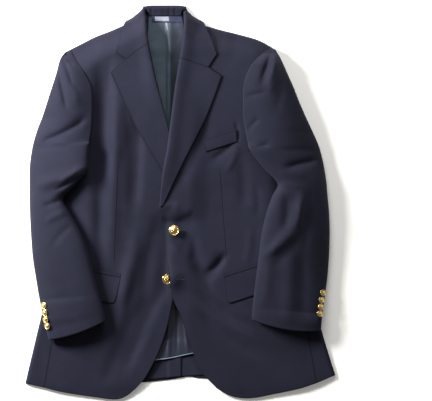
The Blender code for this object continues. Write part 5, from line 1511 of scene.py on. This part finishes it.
def button_body(name, node, steps, rings_n):
    """Button: a domed face, its height less a share of the radius squared, with its relief,
    then a rolled rim, a cupped back and the shank."""
    foot, axis, radius = button_seat(node)
    out = np.linspace(0, FACE_REACH, rings_n)
    r = np.append(out, BUTTON_RIM[:, 0])
    z = np.append(FACE_HEIGHT - FACE_FALL * out ** 2, BUTTON_RIM[:, 1])
    turn = np.linspace(0, 2 * math.pi, steps, endpoint=False)
    x, y = r[:, None] * np.cos(turn), r[:, None] * np.sin(turn)
    face = np.arange(len(r))[:, None] < rings_n
    relief = np.where(face, button_face(x, y), 0)
    rings = np.dstack([x, y, z[:, None] + relief]) * radius
    piece = revolved(name, rings, foot, axis, GILT)
    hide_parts(node)
    return foot, axis, radius


def rope_ring(name, foot, axis, radius, beads):
    """Ring of rope inside the rim: a torus whose thickness swells with each bead and whose
    swellings lean along it."""
    steps, around = beads * 6, 8
    turn = np.linspace(0, 2 * math.pi, steps, endpoint=False)[None, :]
    tube = np.linspace(0, 2 * math.pi, around, endpoint=False)[:, None]
    swell = 0.75 + 0.25 * np.abs(np.cos(turn * beads / 2 + 0.6 * np.sin(tube)))
    thick = ROPE_THICK * swell
    reach = ROPE_REACH + thick * np.cos(tube)
    height = ROPE_HEIGHT + thick * np.sin(tube)
    ring = np.dstack([reach * np.cos(turn), reach * np.sin(turn), height])
    rows = np.concatenate([ring, ring[:1]]) * radius
    return revolved(name, rows[::-1], foot, axis, GILT_BRIGHT)


def tube(name, line, radius, sides, paint_used, slot, squeeze=1.0):
    """Cord along a line of points, its section an ellipse: the radius times cos to the side and
    times squeeze and sin up. It is closed at both ends."""
    along = np.gradient(line, axis=0)
    along /= np.linalg.norm(along, axis=1, keepdims=True)
    side = np.cross(along, (0, 0, 1.0))
    side /= np.maximum(np.linalg.norm(side, axis=1, keepdims=True), 1e-9)
    up = np.cross(side, along)
    turn = np.linspace(0, 2 * math.pi, sides, endpoint=False)
    rings = (line[:, None] + radius * (side[:, None] * np.cos(turn)[None, :, None]
                                       + squeeze * up[:, None] * np.sin(turn)[None, :, None]))
    rings = np.concatenate([np.repeat(line[:1, None], sides, axis=1), rings,
                            np.repeat(line[-1:, None], sides, axis=1)])
    rows = len(rings)
    index = np.arange(rows * sides).reshape(rows, sides)
    after = np.roll(index, -1, axis=1)
    faces = np.stack([index[:-1], after[:-1], after[1:], index[1:]], axis=-1).reshape(-1, 4)
    u, v = np.meshgrid(np.linspace(0, 1, sides) * 2 * math.pi * radius, np.linspace(0, 0.05, rows))
    piece = solid(name, rings.reshape(-1, 3), faces, np.column_stack([u.ravel(), v.ravel()]),
                  paint_used)
    merge(piece)
    return piece


def buttonhole(name, height, start, end):
    """Worked buttonhole: a zigzag of thread, a sine wave beside each of its two lips."""
    a, b = np.array(start) * CM, np.array(end) * CM
    length = np.linalg.norm(b - a)
    along = (b - a) / length
    across = np.array([-along[1], along[0]])
    lines = []
    count = int(length / STITCH_PITCH)
    t = np.linspace(0, 1, 4 * count)
    for side in (1, -1):
        zig = side * (STITCH_OUT + STITCH_SWING * np.sin(2 * math.pi * count * t)) * MM
        lines.append(a + along * length * t[:, None] + across * zig[:, None])
    loop = np.concatenate([lines[0], lines[1][::-1]])
    z = height(loop[:, 0], loop[:, 1]) + CLOTH / 2 + STITCH_LIFT
    return tube(name, np.column_stack([loop, z]), THREAD_RADIUS, 5, THREAD, "wool", 0.8)


def lining_edge(points):
    """Folded hem of the lining: a slim cord along its first row that catches the light, its
    satin painted lighter as a painted highlight.
    """
    line = points[0][::2] + np.array([0, 0, LINING / 2])
    return tube("lining_hem", line, LINING_CORD, 10, SATIN_HEM_HIGHLIGHT, "lining", 0.7)


BUTTONHOLES = [
    # cloth that it is cut in, its two ends in cm
    (lap_height, (-0.85, -15.96), (0.85, -16.04)),
    (lap_height, (-0.17, -5.8), (0.87, -5.75)),
]

WOOL = wool_paint()
FACING = wool_paint("wool_facing", slope=-1.0)
WOOL_RIGHT = wool_paint("wool_front_right", lines=DARTS_RIGHT)
WOOL_LEFT = wool_paint("wool_front_left", lines=DARTS_LEFT)
# The lining's satin gets painted shade towards its hem, the hem cord's a painted highlight
SATIN = satin_paint("lining_satin", LINING_LOW_SHADE)
SATIN_HEM_HIGHLIGHT = satin_paint("lining_hem_highlight_satin", LINING_HEM_HIGHLIGHT)
LABEL_PAINT = label_paint()
GILT = gilt_paint("gilt", GILT_COLOUR, GILT_ROUGHNESS)
GILT_BRIGHT = gilt_paint("gilt_bright", ROPE_COLOUR, ROPE_ROUGHNESS)
THREAD = thread_paint()


def sewn(name, points, thickness, paint_used, with_pieces=()):
    piece = cloth(name + "_cloth", points, thickness, paint_used)
    laid(piece)


def make_back():
    """The two halves with their vent and turned hem, the lining over them, and the label."""
    sewn("back_right", back_points(BACK_RIGHT, "west"), CLOTH, WOOL)
    sewn("back_left", back_points(BACK_LEFT, "east"), CLOTH, WOOL)
    flat = quad(VENT_UNDERLAP, *UNDERLAP_GRID)
    level = np.full(UNDERLAP_GRID, UNDERLAP_HEIGHT)
    sewn("vent_underlap", with_height(flat, level), CLOTH, WOOL)
    for name, corners, counts in (("hem_right", HEM_RIGHT, HEM_GRIDS[0]),
                                  ("hem_left", HEM_LEFT, HEM_GRIDS[1])):
        flat = quad(corners, *counts)
        sewn(name, with_height(flat, hem_height(flat[..., 0], flat[..., 1])), CLOTH, WOOL)
    rows, cols = (np.linspace(0, 1, count) for count in LINING_GRID)
    flat = panel(LINING_BACK, rows, cols, half_seam, half_seam)
    points = with_height(flat, lining_height(flat[..., 0], flat[..., 1]))
    sewn("lining_back", points, LINING, SATIN,
         with_pieces=[lining_edge(points)])
    points = applied_points(LABEL, LABEL_GRID, lining_top, ON_LINING)
    sewn("label", points, LABEL_WALL, LABEL_PAINT)


def make_fronts():
    """Side panels, then the right front and the left one that laps over it."""
    points = side_points(SIDE_SEAM_RIGHT, SIDE_EDGE_RIGHT, BACK_SEAM_RIGHT, -1)
    sewn("side_right", points, CLOTH, WOOL)
    points = side_points(SIDE_SEAM_LEFT, SIDE_EDGE_LEFT, BACK_SEAM_LEFT, 1)
    sewn("side_left", points, CLOTH, WOOL)
    rolled = under_roll(ROLL_START_RIGHT)
    points = front_points(FRONT_RIGHT, "west", body_height, half_seam, rolled)
    sewn("front_right", points, CLOTH, WOOL_RIGHT)
    rolled = under_roll(ROLL_START_LEFT)
    points = front_points(FRONT_LEFT, "east", lap_height, rolled, half_seam)
    sewn("front_left", points, CLOTH, WOOL_LEFT)


def make_collar():
    """Lapels and collar leaves, each on its own front, and the collar behind the neck."""
    right, left = (body_height, ROLL_START_RIGHT, 1), (lap_height, ROLL_START_LEFT, -1)
    for name, rails, seam, (height, start, west), counts, on in (
            ("lapel_right", LAPEL_RIGHT, "top", right, LAPEL_GRID, "front_right"),
            ("lapel_left", LAPEL_LEFT, "top", left, LAPEL_GRID, "front_left"),
            ("collar_leaf_right", LEAF_RIGHT, "bottom", right, LEAF_GRID, "front_right"),
            ("collar_leaf_left", LEAF_LEFT, "bottom", left, LEAF_GRID, "front_left")):
        points = turned_points(rails, seam, height, start, west, counts)
        sewn(name, points, FACED, FACING)
    sewn("collar_back", collar_back_points(), FACED, WOOL)


def make_pockets():
    """Hip pocket flaps with their jets, and the breast welt."""
    for name, height, flap, jet in (("right", body_height, FLAP_RIGHT, JET_RIGHT),
                                    ("left", lap_height, FLAP_LEFT, JET_LEFT)):
        points = applied_points(flap, FLAP_GRID, height, ON_FRONT + FLAP_LIFT, FLAP_CORNER)
        sewn("flap_" + name, points, CLOTH, WOOL)
        points = applied_points(jet, JET_GRID, height, ON_FRONT + JET_LIFT)
        sewn("jet_" + name, points, JET_WALL, WOOL)
    points = applied_points(BREAST_WELT, WELT_GRID, lap_height, ON_FRONT)
    sewn("breast_welt", points, CLOTH, WOOL)


def make_sleeves():
    """Top and under sleeves, their points closer at the two edges."""
    for name, table, armhole, out, over in (
            ("right", SLEEVE_RIGHT, BACK_ARMHOLE_RIGHT, -1, body_height),
            ("left", SLEEVE_LEFT, BACK_ARMHOLE_LEFT, 1, lap_height)):
        rows = np.linspace(0, len(table) - 1, TOPSLEEVE_ROWS)
        shares = 0.5 - 0.5 * np.cos(np.linspace(0, math.pi, SLEEVE_COLS))
        top = topsleeve_points(table, rows, shares, over)
        sewn("topsleeve_" + name, top, CLOTH, WOOL)
        rows = np.linspace(0, len(table) - 1, UNDERSLEEVE_ROWS)
        under = undersleeve_points(table, armhole, out, rows, shares[::2])
        sewn("undersleeve_" + name, under, CLOTH, WOOL)


def make_buttons():
    """Front and cuff buttons, each a body and a ring of rope."""
    nodes = [("button_top", *FRONT_BUTTON), ("button_low", *FRONT_BUTTON)]
    nodes += [(f"cuff_button_{side}_{i}", *CUFF_BUTTON) for side in ("right", "left")
              for i in (1, 2, 3, 4)]
    for node, steps, rings, beads in nodes:
        foot, axis, radius = button_body(node + "_body", node, steps, rings)
        rope_ring(node + "_rope", foot, axis, radius, beads)


def make_stage():
    """Pale floor, a lamp low at the upper left, a weaker one beyond the collar and a little
    light from all round."""
    bpy.ops.mesh.primitive_plane_add(size=FLOOR_SIZE, location=(0, 0, FLOOR_Z))
    floor = bpy.context.object
    floor.name = "floor"
    made, _, shader = paint("floor_white", 0.9, specular=0.1)
    shader.inputs["Base Color"].default_value = (*FLOOR_TONE, 1.0)
    shader.inputs["Emission Color"].default_value = (*SURROUND, 1.0)
    shader.inputs["Emission Strength"].default_value = FLOOR_GLOW
    floor.data.materials.append(made)
    for name, place, size, power, tint in LIGHTS:
        light = bpy.data.lights.new(name, "AREA")
        light.shape = "DISK"
        light.size, light.energy, light.color = size, power, tint
        lamp = bpy.data.objects.new(name, light)
        lamp.location = place
        lamp.rotation_euler = (-Vector(place)).to_track_quat("-Z", "Y").to_euler()
        bpy.context.scene.collection.objects.link(lamp)
    world = bpy.data.worlds.new("surround")
    world.use_nodes = True
    world.node_tree.nodes["Background"].inputs[0].default_value = (*SURROUND, 1.0)
    world.node_tree.nodes["Background"].inputs[1].default_value = SURROUND_POWER
    bpy.context.scene.world = world
    bpy.context.scene.view_settings.view_transform = "Standard"


def make_camera():
    """Straight above, on the spot that the photograph's middle shows."""
    camera = bpy.data.cameras.new("camera")
    camera.type = "ORTHO"
    camera.ortho_scale = VIEW_WIDTH
    camera.clip_end = 20
    holder = bpy.data.objects.new("camera", camera)
    holder.location = (*VIEW_CENTRE, VIEW_HEIGHT)
    bpy.context.scene.collection.objects.link(holder)
    bpy.context.scene.camera = holder


make_camera()
make_stage()
make_back()
make_fronts()
make_collar()
make_pockets()
make_sleeves()
make_buttons()
for number, (height, start, end) in enumerate(BUTTONHOLES):
    buttonhole(f"buttonhole_{number + 1}", height, start, end)
